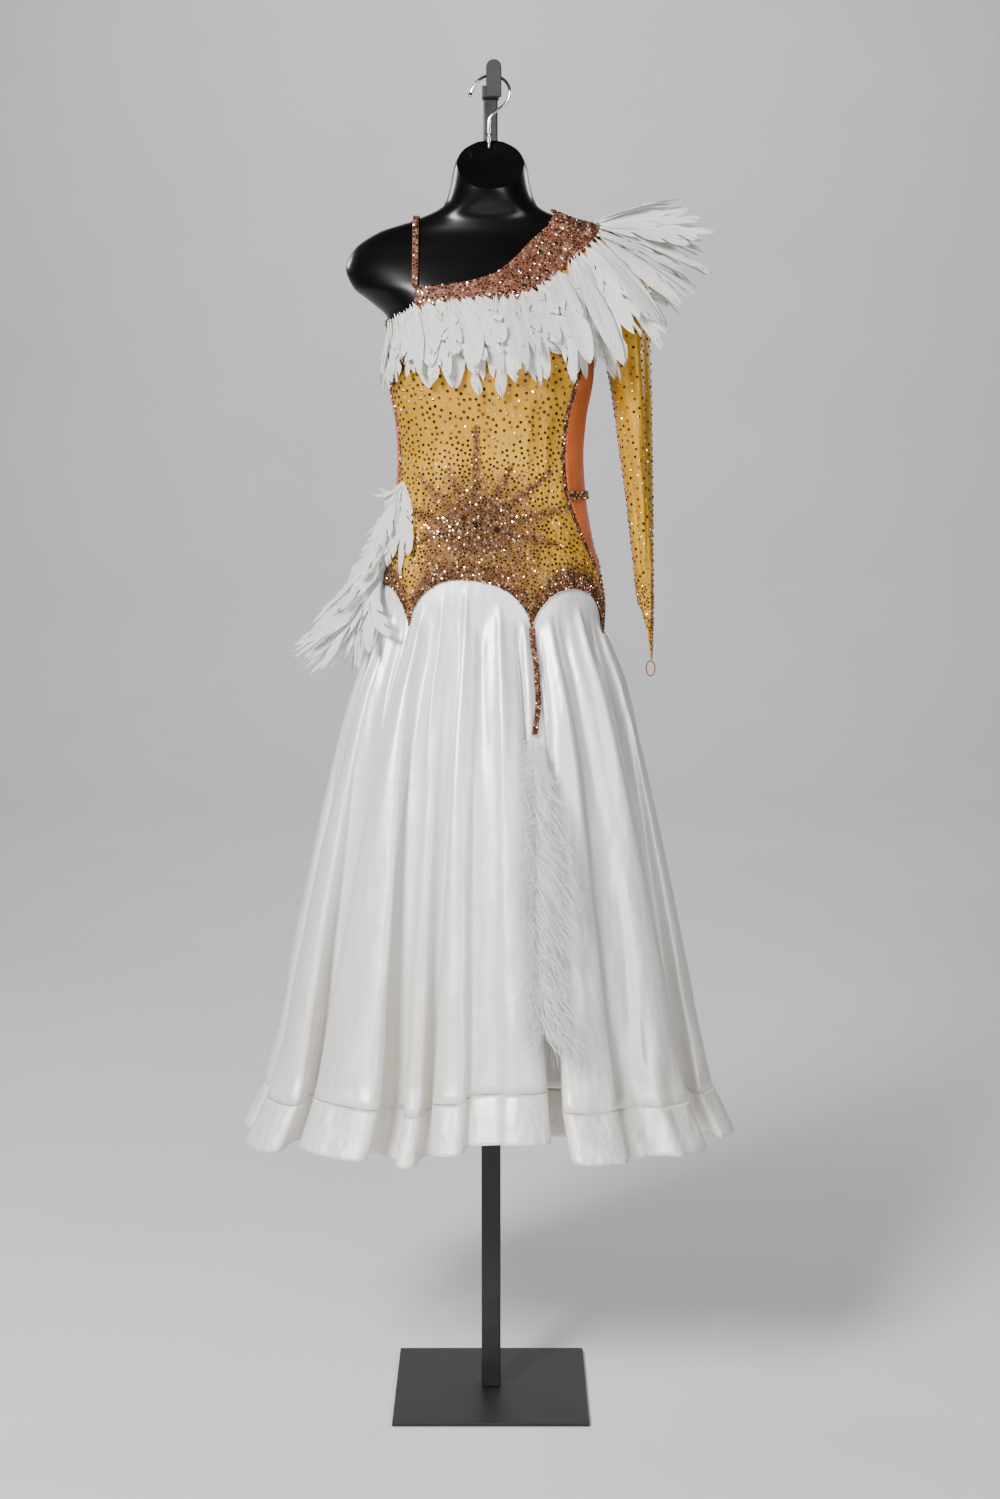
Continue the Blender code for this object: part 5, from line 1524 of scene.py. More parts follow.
def back_gap(angle, height):
    """Space between stones on the back, which has the plainer pattern."""
    drop = height - hip_edge(angle)
    gap = blend(0.0098, 0.0118, ramp(height, 1.40, 1.60))
    if drop < 0.016 or lens_gap(angle, height) < 0.0080:
        gap = 0.0043
    elif drop < 0.045:
        gap = 0.0070
    return gap


def cell_points(rows, dice, gap_at):
    """Places on a panel: every grid cell gets about nine for each stone that could fit."""
    found = []
    for low, high in zip(rows, rows[1:]):
        for c in range(len(low) - 1):
            corners = low[c], low[c + 1], high[c], high[c + 1]
            wide = abs(turned(corners[1][0], corners[0][0])) * DEGREE
            tall = abs(corners[2][1] - corners[0][1])
            middle = blend(corners[0], corners[3], 0.5)
            count = 9.0 * wide * tall / gap_at(*middle) ** 2
            number = int(count) + (1 if dice.random() < count - int(count) else 0)
            for _ in range(number):
                u, v = dice.random(), dice.random()
                found.append(blend(blend(corners[0], corners[1], u),
                                   blend(corners[2], corners[3], u), v))
    dice.shuffle(found)
    return found


def stone_panel(name, rows, gap_at, place, seed, large=()):
    """Scatter stones over a panel, round the large ones that are set first."""
    scatter = Scatter(seed)
    for angle, height, radius in large:
        key_spot = place(angle, height, 0.0)
        scatter.cells.setdefault(scatter.cell(key_spot), []).append((key_spot, radius))
    scatter.fill(cell_points(rows, scatter.dice, gap_at), gap_at, place)
    return scatter.make(name, SMALL_STONE)


STAR = table("angle height radius sides", [
    (-6.0, 1.36, 0.0075, 8),
    (-13.0, 1.371, 0.0055, 4),
    (-1.0, 1.374, 0.0055, 6),
    (-15.0, 1.352, 0.006, 6),
    (2.5, 1.354, 0.006, 4),
    (-10.0, 1.341, 0.005, 5),
    (-2.0, 1.339, 0.0055, 6),
    (8.5, 1.347, 0.0045, 8),
    (-21.5, 1.347, 0.0045, 8),
])


def store_ground(made, rows, gap_at):
    """Keep how closely a panel is stoned, for each point of both its faces."""
    flat = [0.92 * (1 - ramp(gap_at(*pair), 0.0036, 0.0066)) for row in rows for pair in row]
    stored = made.data.attributes.new("ground", "FLOAT", "POINT")
    stored.data.foreach_set("value", flat * (len(made.data.vertices) // len(flat)))


store_ground(bodice_front, front_rows, front_gap)
store_ground(bodice_back, back_rows, back_gap)
star_places = [(jewel.angle, jewel.height, jewel.radius) for jewel in STAR]


def middle_stones(seed=9, count=40, throws=1200):
    """Stones of a middle size, thrown round the large ones."""
    scatter = Scatter(seed)
    dice, found = scatter.dice, []
    taken = [(on_bodice(jewel.angle, jewel.height, 0.0), jewel.radius) for jewel in STAR]
    for _ in range(throws):
        away, turn = 0.070 * dice.random() ** 0.6, dice.uniform(0.0, 2 * math.pi)
        angle = BURST[0] + away * math.cos(turn) / DEGREE
        height = BURST[1] - 0.006 + 0.50 * away * math.sin(turn)
        spot, radius = on_bodice(angle, height, 0.0002), dice.choice((0.0028, 0.0034, 0.0040))
        if len(found) < count and all((spot - other).length > reach + radius + 0.0005
                                      for other, reach in taken):
            taken.append((spot, radius))
            found.append((angle, height, radius))
            scatter.put(spot, form_normal(angle, height), radius, dice.choice((0.0, 0.08)), 0.12)
    return scatter, found


middle, middle_places = middle_stones()
star_places += middle_places
stones_front = stone_panel("stones_front", front_rows, front_gap, on_bodice, 5, star_places)
stones_back = stone_panel("stones_back", back_rows, back_gap, on_bodice, 6)
for made in (stones_front, stones_back):
    seat(made, "topaz_stone")

# %% [markdown]
# The large stones at the middle are cut with two rows of facets under a small table. Their
# shapes differ: squares, a pentagon, hexagons, and rounds, which have eight sides. The large
# ones on the band are rounds, a little smaller.

# %%
def model_jewel(sides):
    """A faceted stone of radius one, its girdle low and its table small."""
    bpy.ops.mesh.primitive_cylinder_add(vertices=sides, radius=1.0, depth=GIRDLE,
                                        location=(0, 0, GIRDLE / 2))
    turn = 90.0 / sides
    return cut_glass(bpy.context.object, GIRDLE, [(0.80, 0.16, turn), (0.66, 0.15, turn)])


def faceted(model, seed):
    """A model with its faces apart and a tone for each, dark, copper or pale, the pale ones a
    painted flash of reflection, because cut glass flashes by facets.
    """
    points, triangles = model
    dice = random.Random(seed)
    # painted reflection: a few facets get the pale tone as a painted flash
    tones = [dice.choice((0.0, 0.0, 0.0, 0.10, 0.45, 0.95)) for _ in triangles]
    loose = np.arange(3 * len(triangles)).reshape(-1, 3)
    return points[triangles].reshape(-1, 3), loose, np.repeat(tones, 3)


JEWEL_MODELS = {sides: faceted(model_jewel(sides), sides) for sides in (4, 5, 6, 8)}
seat(middle.make("stones_star", JEWEL_MODELS[6]), "topaz_stone")
for index, jewel in enumerate(STAR):
    spot = on_bodice(jewel.angle, jewel.height, 0.0002)
    out = form_normal(jewel.angle, jewel.height)
    across = Vector((1, 0, 0.3 * math.sin(index * 2.0))).cross(out).normalized()
    frames = [(spot, across, out.cross(across), out, jewel.radius)]
    model = JEWEL_MODELS[jewel.sides]
    points, triangles = copies(model, frames)
    # the facet tones include painted flashes of reflection
    cut = joined(f"jewel_{index + 1}", points, triangles, LOOK["topaz_stone"],
                 tone=np.clip(model[2] + 0.04, 0.0, 1.0))
    seat(cut, "topaz_stone", f"star_stone_{index + 1}")
print("jewel triangles", {sides: len(model[1]) for sides, model in JEWEL_MODELS.items()})

# %% [markdown]
# The band, the strap, the tabs and the strip are covered. On the band the large stones are
# thrown first, well apart, and small ones are pushed in between until no cloth shows. On the
# narrow pieces the stones sit in rows.

# %%
def stone_band(name, mirror, seed, throws=400, most=44, apart=0.0135):
    scatter = Scatter(seed)
    dice = scatter.dice
    big = []
    for _ in range(throws):
        share, level = dice.uniform(0.02, 0.99), dice.uniform(0.2, 0.8)
        low, high = band_edges(share)
        angle, height = blend(low, high, level)
        angle = 180.0 - angle if mirror else angle
        spot, radius = on_band(angle, height), dice.choice((0.0034, 0.0042, 0.0050))
        if all((spot - other).length > apart for other in big) and len(big) < most:
            big.append(spot)
            # tone 0.95 is pale gold and partly a painted glint
            tone = dice.choice((0.03, 0.06, 0.30, 0.95))
            scatter.put(spot, form_normal(angle, height), radius, tone, 0.05)
    count = len(big)
    places = cell_points(band_rows(mirror), dice, lambda angle, height: 0.0030)
    scatter.fill(places, lambda angle, height: 0.0034, on_band, pale=0.30, dark=0.50)
    large = Scatter(seed + 1)
    large.frames, large.tones = scatter.frames[:count], scatter.tones[:count]
    scatter.frames, scatter.tones = scatter.frames[count:], scatter.tones[count:]
    return scatter.make(name, SMALL_STONE), large.make(name + "_large", JEWEL_MODELS[8])


for side, mirror, seed in (("front", False, 61), ("back", True, 63)):
    for made in stone_band(f"stones_band_{side}", mirror, seed):
        seat(made, "topaz_stone")


def stone_rows(name, place, length, across, seed, pitch=0.0042, radius=0.0020):
    """Rows of stones along a narrow piece: place gives a spot and the direction out of it."""
    scatter = Scatter(seed)
    dice = scatter.dice
    count = int(length / pitch)
    for row, offset in enumerate(across):
        for i in range(count):
            at = (i + 0.5 + 0.5 * (row % 2)) / (count + 0.5)
            spot, out = place(at, offset + dice.uniform(-0.0003, 0.0003))
            tone = tone_of(dice, 0.26, 0.42)
            scatter.put(spot, out, radius * dice.uniform(0.92, 1.08), tone, 0.18)
    return seat(scatter.make(name, SMALL_STONE), "topaz_stone")


def strap_place(at, offset):
    spot, _, out = strap_frame(at * (len(STRAP_PATH) - 1))
    return spot + Vector((offset, 0.0, 0.0)), out


def strip_place(at, offset):
    foot, normal, across = strip_foot(blend(0.015, 0.985, at))
    return foot + normal * STRIP_CLOTH + across * offset, normal


stone_rows("stones_strap", strap_place, strap_length, (-0.0021, 0.0021), 71)
stone_rows("stones_strip", strip_place, STRIP_RUN, (-0.0027, 0.0, 0.0027), 72, 0.0040, 0.0017)
for side in (1, -1):
    rows = tab_rows(side)
    first, last = rows[0][0][0], rows[0][-1][0]

    def tab_place(at, offset):
        angle, height = blend(first, last, at), (TAB_LOW + TAB_HIGH) / 2 + offset
        return on_tab(angle, height), form_normal(angle, height)

    stone_rows(f"stones_tab_{side}", tab_place, abs(last - first) * DEGREE,
               (-0.0042, 0.0, 0.0042), 73 + side)

# %% [markdown]
# ## The sleeve
#
# The empty sleeve is one tube of stretch satin. It starts at the armhole seam, goes over the
# end of the shoulder and hangs down almost flat, a little in front of the hip, and it ends in a
# point over the back of the hand. The rings below give its inner and outer edge and how far it
# reaches to the front and back. The tube is drawn through them as smooth curves.

# %%
SLEEVE_RINGS = table("inner_x inner_z outer_x outer_z front back", [
    (0.157, 1.643, 0.213, 1.774, -0.103, 0.024),
    (0.16, 1.642, 0.229, 1.748, -0.1, 0.021),
    (0.162, 1.639, 0.235, 1.712, -0.096, 0.016),
    (0.1645, 1.636, 0.236, 1.666, -0.094, 0.012),
    (0.168, 1.612, 0.236, 1.622, -0.093, 0.011),
    (0.181, 1.544, 0.239, 1.547, -0.089, 0.006),
    (0.1915, 1.47, 0.2405, 1.471, -0.084, 0.0),
    (0.202, 1.397, 0.242, 1.398, -0.078, -0.006),
    (0.211, 1.32, 0.243, 1.321, -0.072, -0.013),
    (0.2185, 1.248, 0.244, 1.249, -0.066, -0.02),
    (0.2215, 1.216, 0.2435, 1.216, -0.062, -0.024),
    (0.223, 1.204, 0.2425, 1.198, -0.06, -0.026),
])
CUFF_POINT, CUFF_RISE, CREASE_RISE = 0.040, 0.036, 1.45
SLEEVE_SIDES, SLEEVE_STEPS = 72, 132
ARMHOLE_MIDDLE, ARMHOLE_DRAW = (90.0, 1.712), 0.0011
CREASES = table("turn down lean length width rise", [
    (205.0, 0.27, 300.0, 0.07, 16.0, -0.0042),
    (185.0, 0.31, 240.0, 0.06, 14.0, 0.0036),
    (160.0, 0.29, -260.0, 0.06, 16.0, -0.0036),
    (125.0, 0.36, -160.0, 0.08, 14.0, 0.003),
    (100.0, 0.44, -70.0, 0.11, 12.0, -0.0032),
    (70.0, 0.4, 40.0, 0.12, 12.0, 0.003),
    (45.0, 0.52, 30.0, 0.14, 11.0, -0.0028),
    (88.0, 0.62, -40.0, 0.13, 10.0, 0.0026),
    (120.0, 0.7, -30.0, 0.12, 11.0, -0.0024),
    (60.0, 0.78, 40.0, 0.11, 11.0, 0.0022),
    (95.0, 0.86, 20.0, 0.08, 12.0, -0.002),
    (230.0, 0.38, 100.0, 0.09, 13.0, 0.0032),
    (262.0, 0.46, 60.0, 0.12, 12.0, -0.003),
    (290.0, 0.42, -50.0, 0.12, 12.0, 0.003),
    (315.0, 0.56, -40.0, 0.13, 11.0, -0.0026),
    (270.0, 0.66, 40.0, 0.13, 11.0, 0.0026),
    (240.0, 0.76, 20.0, 0.11, 11.0, -0.0022),
])


def armhole_loop():
    """The sleeve's seam line on the form, from the shoulder round the front to the back."""
    front = [(row.angle, row.height) for row in reversed(ARMHOLE)] + [(69.0, 1.6505)]
    under = [(79.0, 1.6485), (88.0, 1.6480), (96.0, 1.6485)]
    back = [(180.0 - angle, height) for angle, height in reversed(front[1:])]
    return front + under + [(104.0, 1.652)] + back[1:]


def shrink(loop, centre, by, scale=0.0028):
    """Draw a loop of angle and height pairs a little towards its middle."""
    drawn = []
    for angle, height in loop:
        away = Vector(((angle - centre[0]) * scale, height - centre[1]))
        kept = away * (1 - by / away.length)
        drawn.append((centre[0] + kept.x / scale, centre[1] + kept.y))
    return drawn


def through_ring(points, count):
    """A closed curve through points, at even steps of the points' own numbering."""
    size, found = len(points), []
    for i in range(count):
        at = i / count * size
        k = int(at)
        found.append(spline(*(points[(k + j) % size] for j in (-1, 0, 1, 2)), at - k))
    return found


def sleeve_rings():
    """Coarse rings: the seam on the form, then one for each row of the table."""
    seam = [on_form(a, h, ease(h) + CLOTH)
            for a, h in shrink(armhole_loop(), ARMHOLE_MIDDLE, ARMHOLE_DRAW)]
    rings = [through_ring(seam, SLEEVE_SIDES)]
    for index, row in enumerate(SLEEVE_RINGS):
        inner = Vector((row.inner_x, 0.0, row.inner_z))
        outer = Vector((row.outer_x, 0.0, row.outer_z))
        middle, reach = (inner + outer) / 2, (outer - inner) / 2
        middle.y = (row.front + row.back) / 2
        deep = (row.back - row.front) / 2
        slant = ramp(index, len(SLEEVE_RINGS) - 4, len(SLEEVE_RINGS) - 1)
        ring = []
        for i in range(SLEEVE_SIDES):
            turn = 2 * math.pi * i / SLEEVE_SIDES
            wide = math.cos(turn)
            point = middle + reach * wide - Vector((0.0, deep * math.sin(turn), 0.0))
            outward = (1 + wide) / 2
            point.z += slant * (CUFF_RISE * (1 - outward) - CUFF_POINT * outward ** 3)
            ring.append(point)
        rings.append(ring)
    return rings


COARSE_SLEEVE = sleeve_rings()


def sleeve_base(side, down):
    """A point of the sleeve: side counts round from the outer edge, down runs from 0 to 1."""
    last = len(COARSE_SLEEVE) - 1
    at = down * last
    k = min(int(at), last - 1)
    four = (COARSE_SLEEVE[min(max(k + j, 0), last)][side % SLEEVE_SIDES] for j in (-1, 0, 1, 2))
    return spline(*four, at - k)


def sleeve_crease(turn, down):
    total = 0.0
    for crease in CREASES:
        run = down - crease.down
        if abs(run) < 2.2 * crease.length:
            off = turned(turn, crease.turn + crease.lean * run) / crease.width
            total += CREASE_RISE * crease.rise * math.exp(-off * off - (run / crease.length) ** 2)
    return total


def sleeve_grid():
    """Points and outward directions of the sleeve's outer face, ring by ring."""
    rings = [[sleeve_base(s, d / SLEEVE_STEPS) for s in range(SLEEVE_SIDES)]
             for d in range(SLEEVE_STEPS + 1)]
    normals = ring_normals(rings)
    for d, (ring, outs) in enumerate(zip(rings, normals)):
        down = d / SLEEVE_STEPS
        for s in range(SLEEVE_SIDES):
            lift = sleeve_crease(360.0 * s / SLEEVE_SIDES, down)
            ring[s] = ring[s] + outs[s] * lift
            if 0 < d < SLEEVE_STEPS * 0.5:
                ring[s] = push_clear(torso_tree, ring[s], SHOULDER_EASE + CLOTH)
    return rings, ring_normals(rings)


def ring_normals(rings):
    """Directions out of a tube of rings, checked against each ring's middle."""
    found = []
    for r, ring in enumerate(rings):
        above, below = rings[max(r - 1, 0)], rings[min(r + 1, len(rings) - 1)]
        size = len(ring)
        outs = []
        for s in range(size):
            along = ring[(s + 1) % size] - ring[s - 1]
            fall = below[s] - above[s]
            outs.append(fall.cross(along).normalized())
        found.append(outs)
    middle = rings[len(rings) // 2]
    centre = sum(middle, Vector()) / len(middle)
    if (middle[0] - centre).dot(found[len(rings) // 2][0]) < 0:
        found = [[-n for n in row] for row in found]
    return found


SLEEVE_GRID, SLEEVE_OUT = sleeve_grid()
sleeve = laid_grid("sleeve_satin", SLEEVE_SIDES, SLEEVE_STEPS,
                   lambda u, v: SLEEVE_GRID[round((1 - v) * SLEEVE_STEPS)]
                   [round(u * SLEEVE_SIDES) % SLEEVE_SIDES], LOOK["gold_satin"])
face_out(sleeve, TUBE_MERGE)
thicken(sleeve, CLOTH)
seat(sleeve, "gold_satin", "sleeve")
print("sleeve", len(sleeve.data.polygons), "faces")

# %% [markdown]
# The finger loop is a thin round elastic, sewn to the cuff's point. It keeps the point over the
# back of the hand.

# %%
LOOP_MIDDLE = Vector((0.2405, -0.043, 1.1450))
LOOP_WIDE, LOOP_HIGH, LOOP_WIRE, LOOP_STEPS = 0.0065, 0.0115, 0.0011, 40
loop_path = [LOOP_MIDDLE + Vector((LOOP_WIDE * math.sin(t), 0.0, LOOP_HIGH * math.cos(t)))
             for t in [2 * math.pi * i / LOOP_STEPS for i in range(LOOP_STEPS + 1)]]
finger_loop = rod("finger_elastic", loop_path, [LOOP_WIRE] * len(loop_path), 10,
                  LOOK["copper_elastic"])
seat(finger_loop, "copper_elastic", "finger_loop")

# %% [markdown]
# Stones on the sleeve are spread evenly and grow denser towards the cuff. Both the front and the
# back of the sleeve have them.

# %%
CUFF_STONES, SLEEVE_THROWS = 1.286, 22000


def tree_of(made):
    return BVHTree.FromPolygons([v.co.copy() for v in made.data.vertices],
                                [tuple(f.vertices) for f in made.data.polygons])


SLEEVE_TREE = tree_of(sleeve)


def on_cuff(spot, ring):
    """Where a line from outside the cuff meets it, and the direction out of it there."""
    away = (spot - sum(ring, Vector()) / len(ring)).normalized()
    near, out, _, _ = SLEEVE_TREE.ray_cast(spot + away * 0.03, -away)
    return near, out if near is None or out.dot(away) > 0 else -out


def sleeve_stones(seed=11):
    scatter = Scatter(seed)
    dice = scatter.dice
    for _ in range(SLEEVE_THROWS):
        side, down = dice.random() * SLEEVE_SIDES, dice.random() * SLEEVE_STEPS
        s, d = int(side), min(int(down), SLEEVE_STEPS - 1)
        u, v = side - s, down - d
        after = (s + 1) % SLEEVE_SIDES
        top = SLEEVE_GRID[d][s].lerp(SLEEVE_GRID[d][after], u)
        low = SLEEVE_GRID[d + 1][s].lerp(SLEEVE_GRID[d + 1][after], u)
        spot, out = top.lerp(low, v), SLEEVE_OUT[d][s]
        share = down / SLEEVE_STEPS
        near_edge = share > 0.975 or share < 0.02
        gap = 0.0046 if near_edge else blend(0.0108, 0.0080, ramp(share, 0.40, 0.84))
        gap = blend(gap, 0.0030, ramp(CUFF_STONES - spot.z, 0.0, 0.020))
        gap *= dice.uniform(0.92, 1.1)
        radius = 0.0019 if gap < 0.0060 else 0.0025
        if scatter.free(spot, gap, radius):
            if spot.z < CUFF_STONES:
                spot, out = on_cuff(spot, SLEEVE_GRID[d])
                if spot is None:
                    continue
            scatter.put(spot + out * STONE_SINK, out, radius, tone_of(dice, 0.20, 0.55))
    return scatter.make("stones_sleeve", SMALL_STONE)


seat(sleeve_stones(), "topaz_stone")

# %% [markdown]
# ## Feathers
#
# Each feather is a thin shaft with a vane of barbs on both sides. The barbs leave the shaft,
# sweep towards the tip and cling together, but here and there the vane has come apart, which
# gives a feather its notched outline. So a vane is a surface whose rows are barbs, with some
# gaps near its edge, and the part beyond a gap curls a little out of the blade's plane. All the
# feathers of a trim are one mesh.

# %%
def feather_finish():
    """Soft white vane with fine barb lines along each group, darker in the grooves between barbs as
    painted shade.
    """
    made = Finish("feather_white", Roughness=0.62, Sheen_Weight=0.25, Sheen_Roughness=0.4,
                  Specular_IOR_Level=0.25)
    tone = made.place.node("ShaderNodeAttribute", output=2, attribute_name="tone")
    cloud = made.noise(14.0, 2.0)
    barbs = (tone * 34.0).sin()
    colour = cloud.step(0.3, 0.75).mix((0.94, 0.935, 0.915), (0.98, 0.975, 0.965))
    # painted shade: the barb lines are darker where shade falls between barbs
    made.set("Base Color", barbs.step(-1.0, 0.4).mix((0.78, 0.77, 0.75), colour))
    made.bump(barbs, 0.0010, 0.6)
    glow = made.tree.nodes.new("ShaderNodeBsdfTranslucent")
    glow.inputs["Color"].default_value = (0.92, 0.91, 0.88, 1.0)
    both = made.tree.nodes.new("ShaderNodeMixShader")
    both.inputs[0].default_value = 0.22
    made.tree.links.new(made.shader.outputs[0], both.inputs[1])
    made.tree.links.new(glow.outputs[0], both.inputs[2])
    made.tree.links.new(both.outputs[0], made.tree.nodes["Material Output"].inputs[0])
    return made.material


LOOK["feather_white"] = feather_finish()
VANE_STEPS = (0.0, 0.35, 0.70, 1.0)
SHAFT_STEPS = 8


class Plumage:
    """Feathers of one trim, gathered as points, triangles and tones."""

    def __init__(self, seed):
        self.dice = random.Random(seed)
        self.points, self.faces, self.tones = [], [], []

    def ribbon(self, spots, sides, tones=(0.0, 1.0)):
        """A strip between pairs of points."""
        first = len(self.points)
        for spot, side in zip(spots, sides):
            self.points += [spot - side, spot + side]
            self.tones += tones
        for i in range(len(spots) - 1):
            a = first + 2 * i
            self.faces += [(a, a + 1, a + 3), (a, a + 3, a + 2)]

    def shaft(self, path, ups, width):
        """A three-sided quill that tapers to nothing."""
        first, last = len(self.points), len(path) - 1
        for i, (spot, up) in enumerate(zip(path, ups)):
            ahead = (path[min(i + 1, last)] - path[max(i - 1, 0)]).normalized()
            side, size = ahead.cross(up).normalized(), width * (1 - 0.9 * i / last)
            for turn in (90.0, 210.0, 330.0):
                turn = math.radians(turn)
                self.points.append(spot + (side * math.cos(turn) + up * math.sin(turn)) * size)
                self.tones.append(0.05)
        for i in range(last):
            for k in range(3):
                a, b = first + 3 * i + k, first + 3 * i + (k + 1) % 3
                self.faces += [(a, b, b + 3), (a, b + 3, a + 3)]

    def feather(self, path, ups, width, lobes=16, sweep=0.17, ragged=0.05, splits=2, round_=2.2,
                cup=0.12):
        """A blade: path runs along the shaft, ups are its face directions, splits its gaps."""
        dice, last = self.dice, len(path) - 1
        self.shaft(path, ups, 0.0008)

        def at(share):
            share = min(max(share, 0.0), 1.0) * last
            i = min(int(share), last - 1)
            ahead = (path[i + 1] - path[i]).normalized()
            up = ups[i].lerp(ups[i + 1], share - i).normalized()
            return path[i].lerp(path[i + 1], share - i), ahead, up

        def outline(share):
            return max(1 - abs(2 * share ** 1.25 - 1.0) ** round_, 0.0) ** 0.70

        for side in (-1.0, 1.0):
            gaps = {dice.randrange(3, lobes - 1) for _ in range(splits)}
            bend, first, inner = 0.0, len(self.points), len(VANE_STEPS)
            for k in range(lobes + 1):
                if k in gaps:
                    bend = dice.uniform(-0.30, 0.30)
                split = k in gaps or k + 1 in gaps
                shorter = dice.uniform(0.66, 0.86) if split else dice.uniform(1 - ragged, 1.0)
                start = 0.01 + 0.98 * k / lobes
                end = min(start + sweep * (1 - 0.4 * start), 1.0)
                reach = width / 2 * outline(end) * shorter
                for step in VANE_STEPS:
                    spot, ahead, up = at(blend(start, end, step ** 1.25))
                    across = ahead.cross(up).normalized() * side
                    rise = bend * step * step - cup * step * step + 0.10 * step
                    self.points.append(spot + across * reach * step ** 0.9 + up * reach * rise)
                    self.tones.append(8.0 * k / lobes)
            for k in range(lobes):
                for j in range(1 if k + 1 in gaps else inner - 1):
                    a = first + k * inner + j
                    self.faces += [(a, a + 1, a + inner + 1), (a, a + inner + 1, a + inner)]

    def make(self, name):
        points = np.array([p[:] for p in self.points])
        made = joined(name, points, np.array(self.faces), LOOK["feather_white"], smooth=True,
                      tone=np.array(self.tones))
        print(name, len(self.faces), "triangles")
        return made


def droop_path(start, direction, length, droop, steps=SHAFT_STEPS):
    return [start + direction * length * i / steps - Vector((0, 0, droop * (i / steps) ** 2))
            for i in range(steps + 1)]


print("feather helpers ready")

# %% [markdown]
# Round the neckline the feathers are broad and rounded, in three layers under the band, each
# shorter than the one below it. They hang square to the neckline and fan apart where it climbs
# to the shoulder. A few narrower ones go on under the bare arm. The back is trimmed in the
# same way.

# %%
TRIM_END, TRIM_DEGREE, SIDE_FEATHERS = 0.55, 0.0030, 14
TRIM_LAYERS = table("count length lift stand narrower", [
    (17, 0.106, 0.0030, 0.006, 0.0),
    (15, 0.096, 0.0065, 0.015, 0.0),
    (12, 0.084, 0.0090, 0.017, 0.005),
])


def neckline_slant(share):
    """How far the feathers lean out from straight down, to hang square to the neckline."""
    reach, metres_per_degree = 0.10, 0.0028
    first, last = band_edges(max(share - reach, 0.0))[0], band_edges(min(share + reach, 1.0))[0]
    slope = math.atan2(last[1] - first[1], (last[0] - first[0]) * metres_per_degree)
    return math.degrees(slope) * 0.9 - 12.0 * (1 - ramp(share, 0.0, 0.35))


def hanging_path(share, length, slant, lift, stand, mirror, drop=-0.0036, root=None):
    """The shaft of a feather that hangs over the bodice, and the directions out of it."""
    angle, height = root or band_edges(share)[0]
    path, ups = [], []
    for i in range(SHAFT_STEPS + 1):
        run = length * i / SHAFT_STEPS
        bow = 4.0 * (i / SHAFT_STEPS) ** 2
        h = height - drop - run * math.cos(math.radians(slant))
        a = angle + run * math.sin(math.radians(slant + bow)) / TRIM_DEGREE
        a = 180.0 - a if mirror else a
        path.append(on_form(a, h, ease(h) + CLOTH + lift + stand * (i / SHAFT_STEPS) ** 1.3))
        ups.append(form_normal(a, h))
    return path, ups


def twisted(path, ups, dice, most=0.3):
    """Turn a blade a little about its shaft."""
    twist, ahead = dice.uniform(-most, most), (path[-1] - path[0]).normalized()
    return [(up + up.cross(ahead) * twist).normalized() for up in ups]


def hanging_trim(name, mirror, seed):
    plumage = Plumage(seed)
    dice = plumage.dice
    for layer in TRIM_LAYERS:
        for i in range(layer.count):
            share = TRIM_END * (i + dice.uniform(0.1, 0.9)) / layer.count
            length = layer.length + 0.020 * share / TRIM_END + dice.uniform(-0.024, 0.020)
            slant = neckline_slant(share) + 8.0 + dice.uniform(-20.0, 22.0)
            width = dice.uniform(0.024, 0.042) - layer.narrower
            path, ups = hanging_path(share, length, slant, layer.lift + dice.uniform(0.0, 0.0012),
                                     layer.stand + dice.uniform(0.0, 0.006), mirror)
            plumage.feather(path, twisted(path, ups, dice, 0.34), width, lobes=20,
                            splits=dice.choice((0, 1, 2, 3)), round_=dice.uniform(1.6, 2.5))
    for i in range(SIDE_FEATHERS):
        angle = blend(-38.0, -68.0, i / (SIDE_FEATHERS - 1))
        root = (angle, 1.680 + 0.0008 * (angle + 42.0) + dice.uniform(-0.008, 0.0))
        length, slant = dice.uniform(0.075, 0.105), dice.uniform(-26.0, -6.0)
        path, ups = hanging_path(0.0, length, slant, 0.0035 + 0.001 * (i % 3), 0.010, mirror,
                                 0.0, root)
        plumage.feather(path, twisted(path, ups, dice), dice.uniform(0.020, 0.028), ragged=0.2,
                        splits=4, round_=2.0)
    return plumage.make(name)


for side, mirror, seed in (("front", False, 21), ("back", True, 22)):
    feathers = hanging_trim(f"feathers_{side}", mirror, seed)
    seat(feathers, "feather_white", f"feather_trim_{side}")

# %% [markdown]
# Over the shoulder the feathers are longer. They stand out from the band over the top of the
# sleeve, the upper ones nearly straight and the lower ones drooping over the arm.

# %%
def shoulder_root(share):
    """Where the shoulder's backing is, and the direction along it."""
    def at(share):
        behind = share > 1.0
        (angle, height), _ = band_edges(2.0 - share if behind else share)
        angle = 180.0 - angle if behind else angle
        h = height + 0.0036
        return on_form(angle, h, ease(h) + CLOTH + 0.0046)
    return at(share), (at(share + 0.02) - at(share - 0.02)).normalized()


SWEEPS = table("along x y z length", [
    (0.0, 0.2, -0.22, -0.95, 0.15),
    (0.12, 0.44, -0.32, -0.8, 0.156),
    (0.25, 0.78, -0.34, -0.48, 0.164),
    (0.38, 0.94, -0.22, -0.1, 0.168),
    (0.5, 0.96, 0.0, 0.12, 0.138),
    (0.62, 0.94, 0.22, -0.1, 0.15),
    (0.75, 0.84, 0.32, -0.36, 0.15),
    (0.88, 0.66, 0.34, -0.66, 0.13),
    (1.0, 0.52, 0.3, -0.8, 0.115),
])
SWEEP_CURVES = {name: column(SWEEPS, "along", name) for name in ("x", "y", "z", "length")}


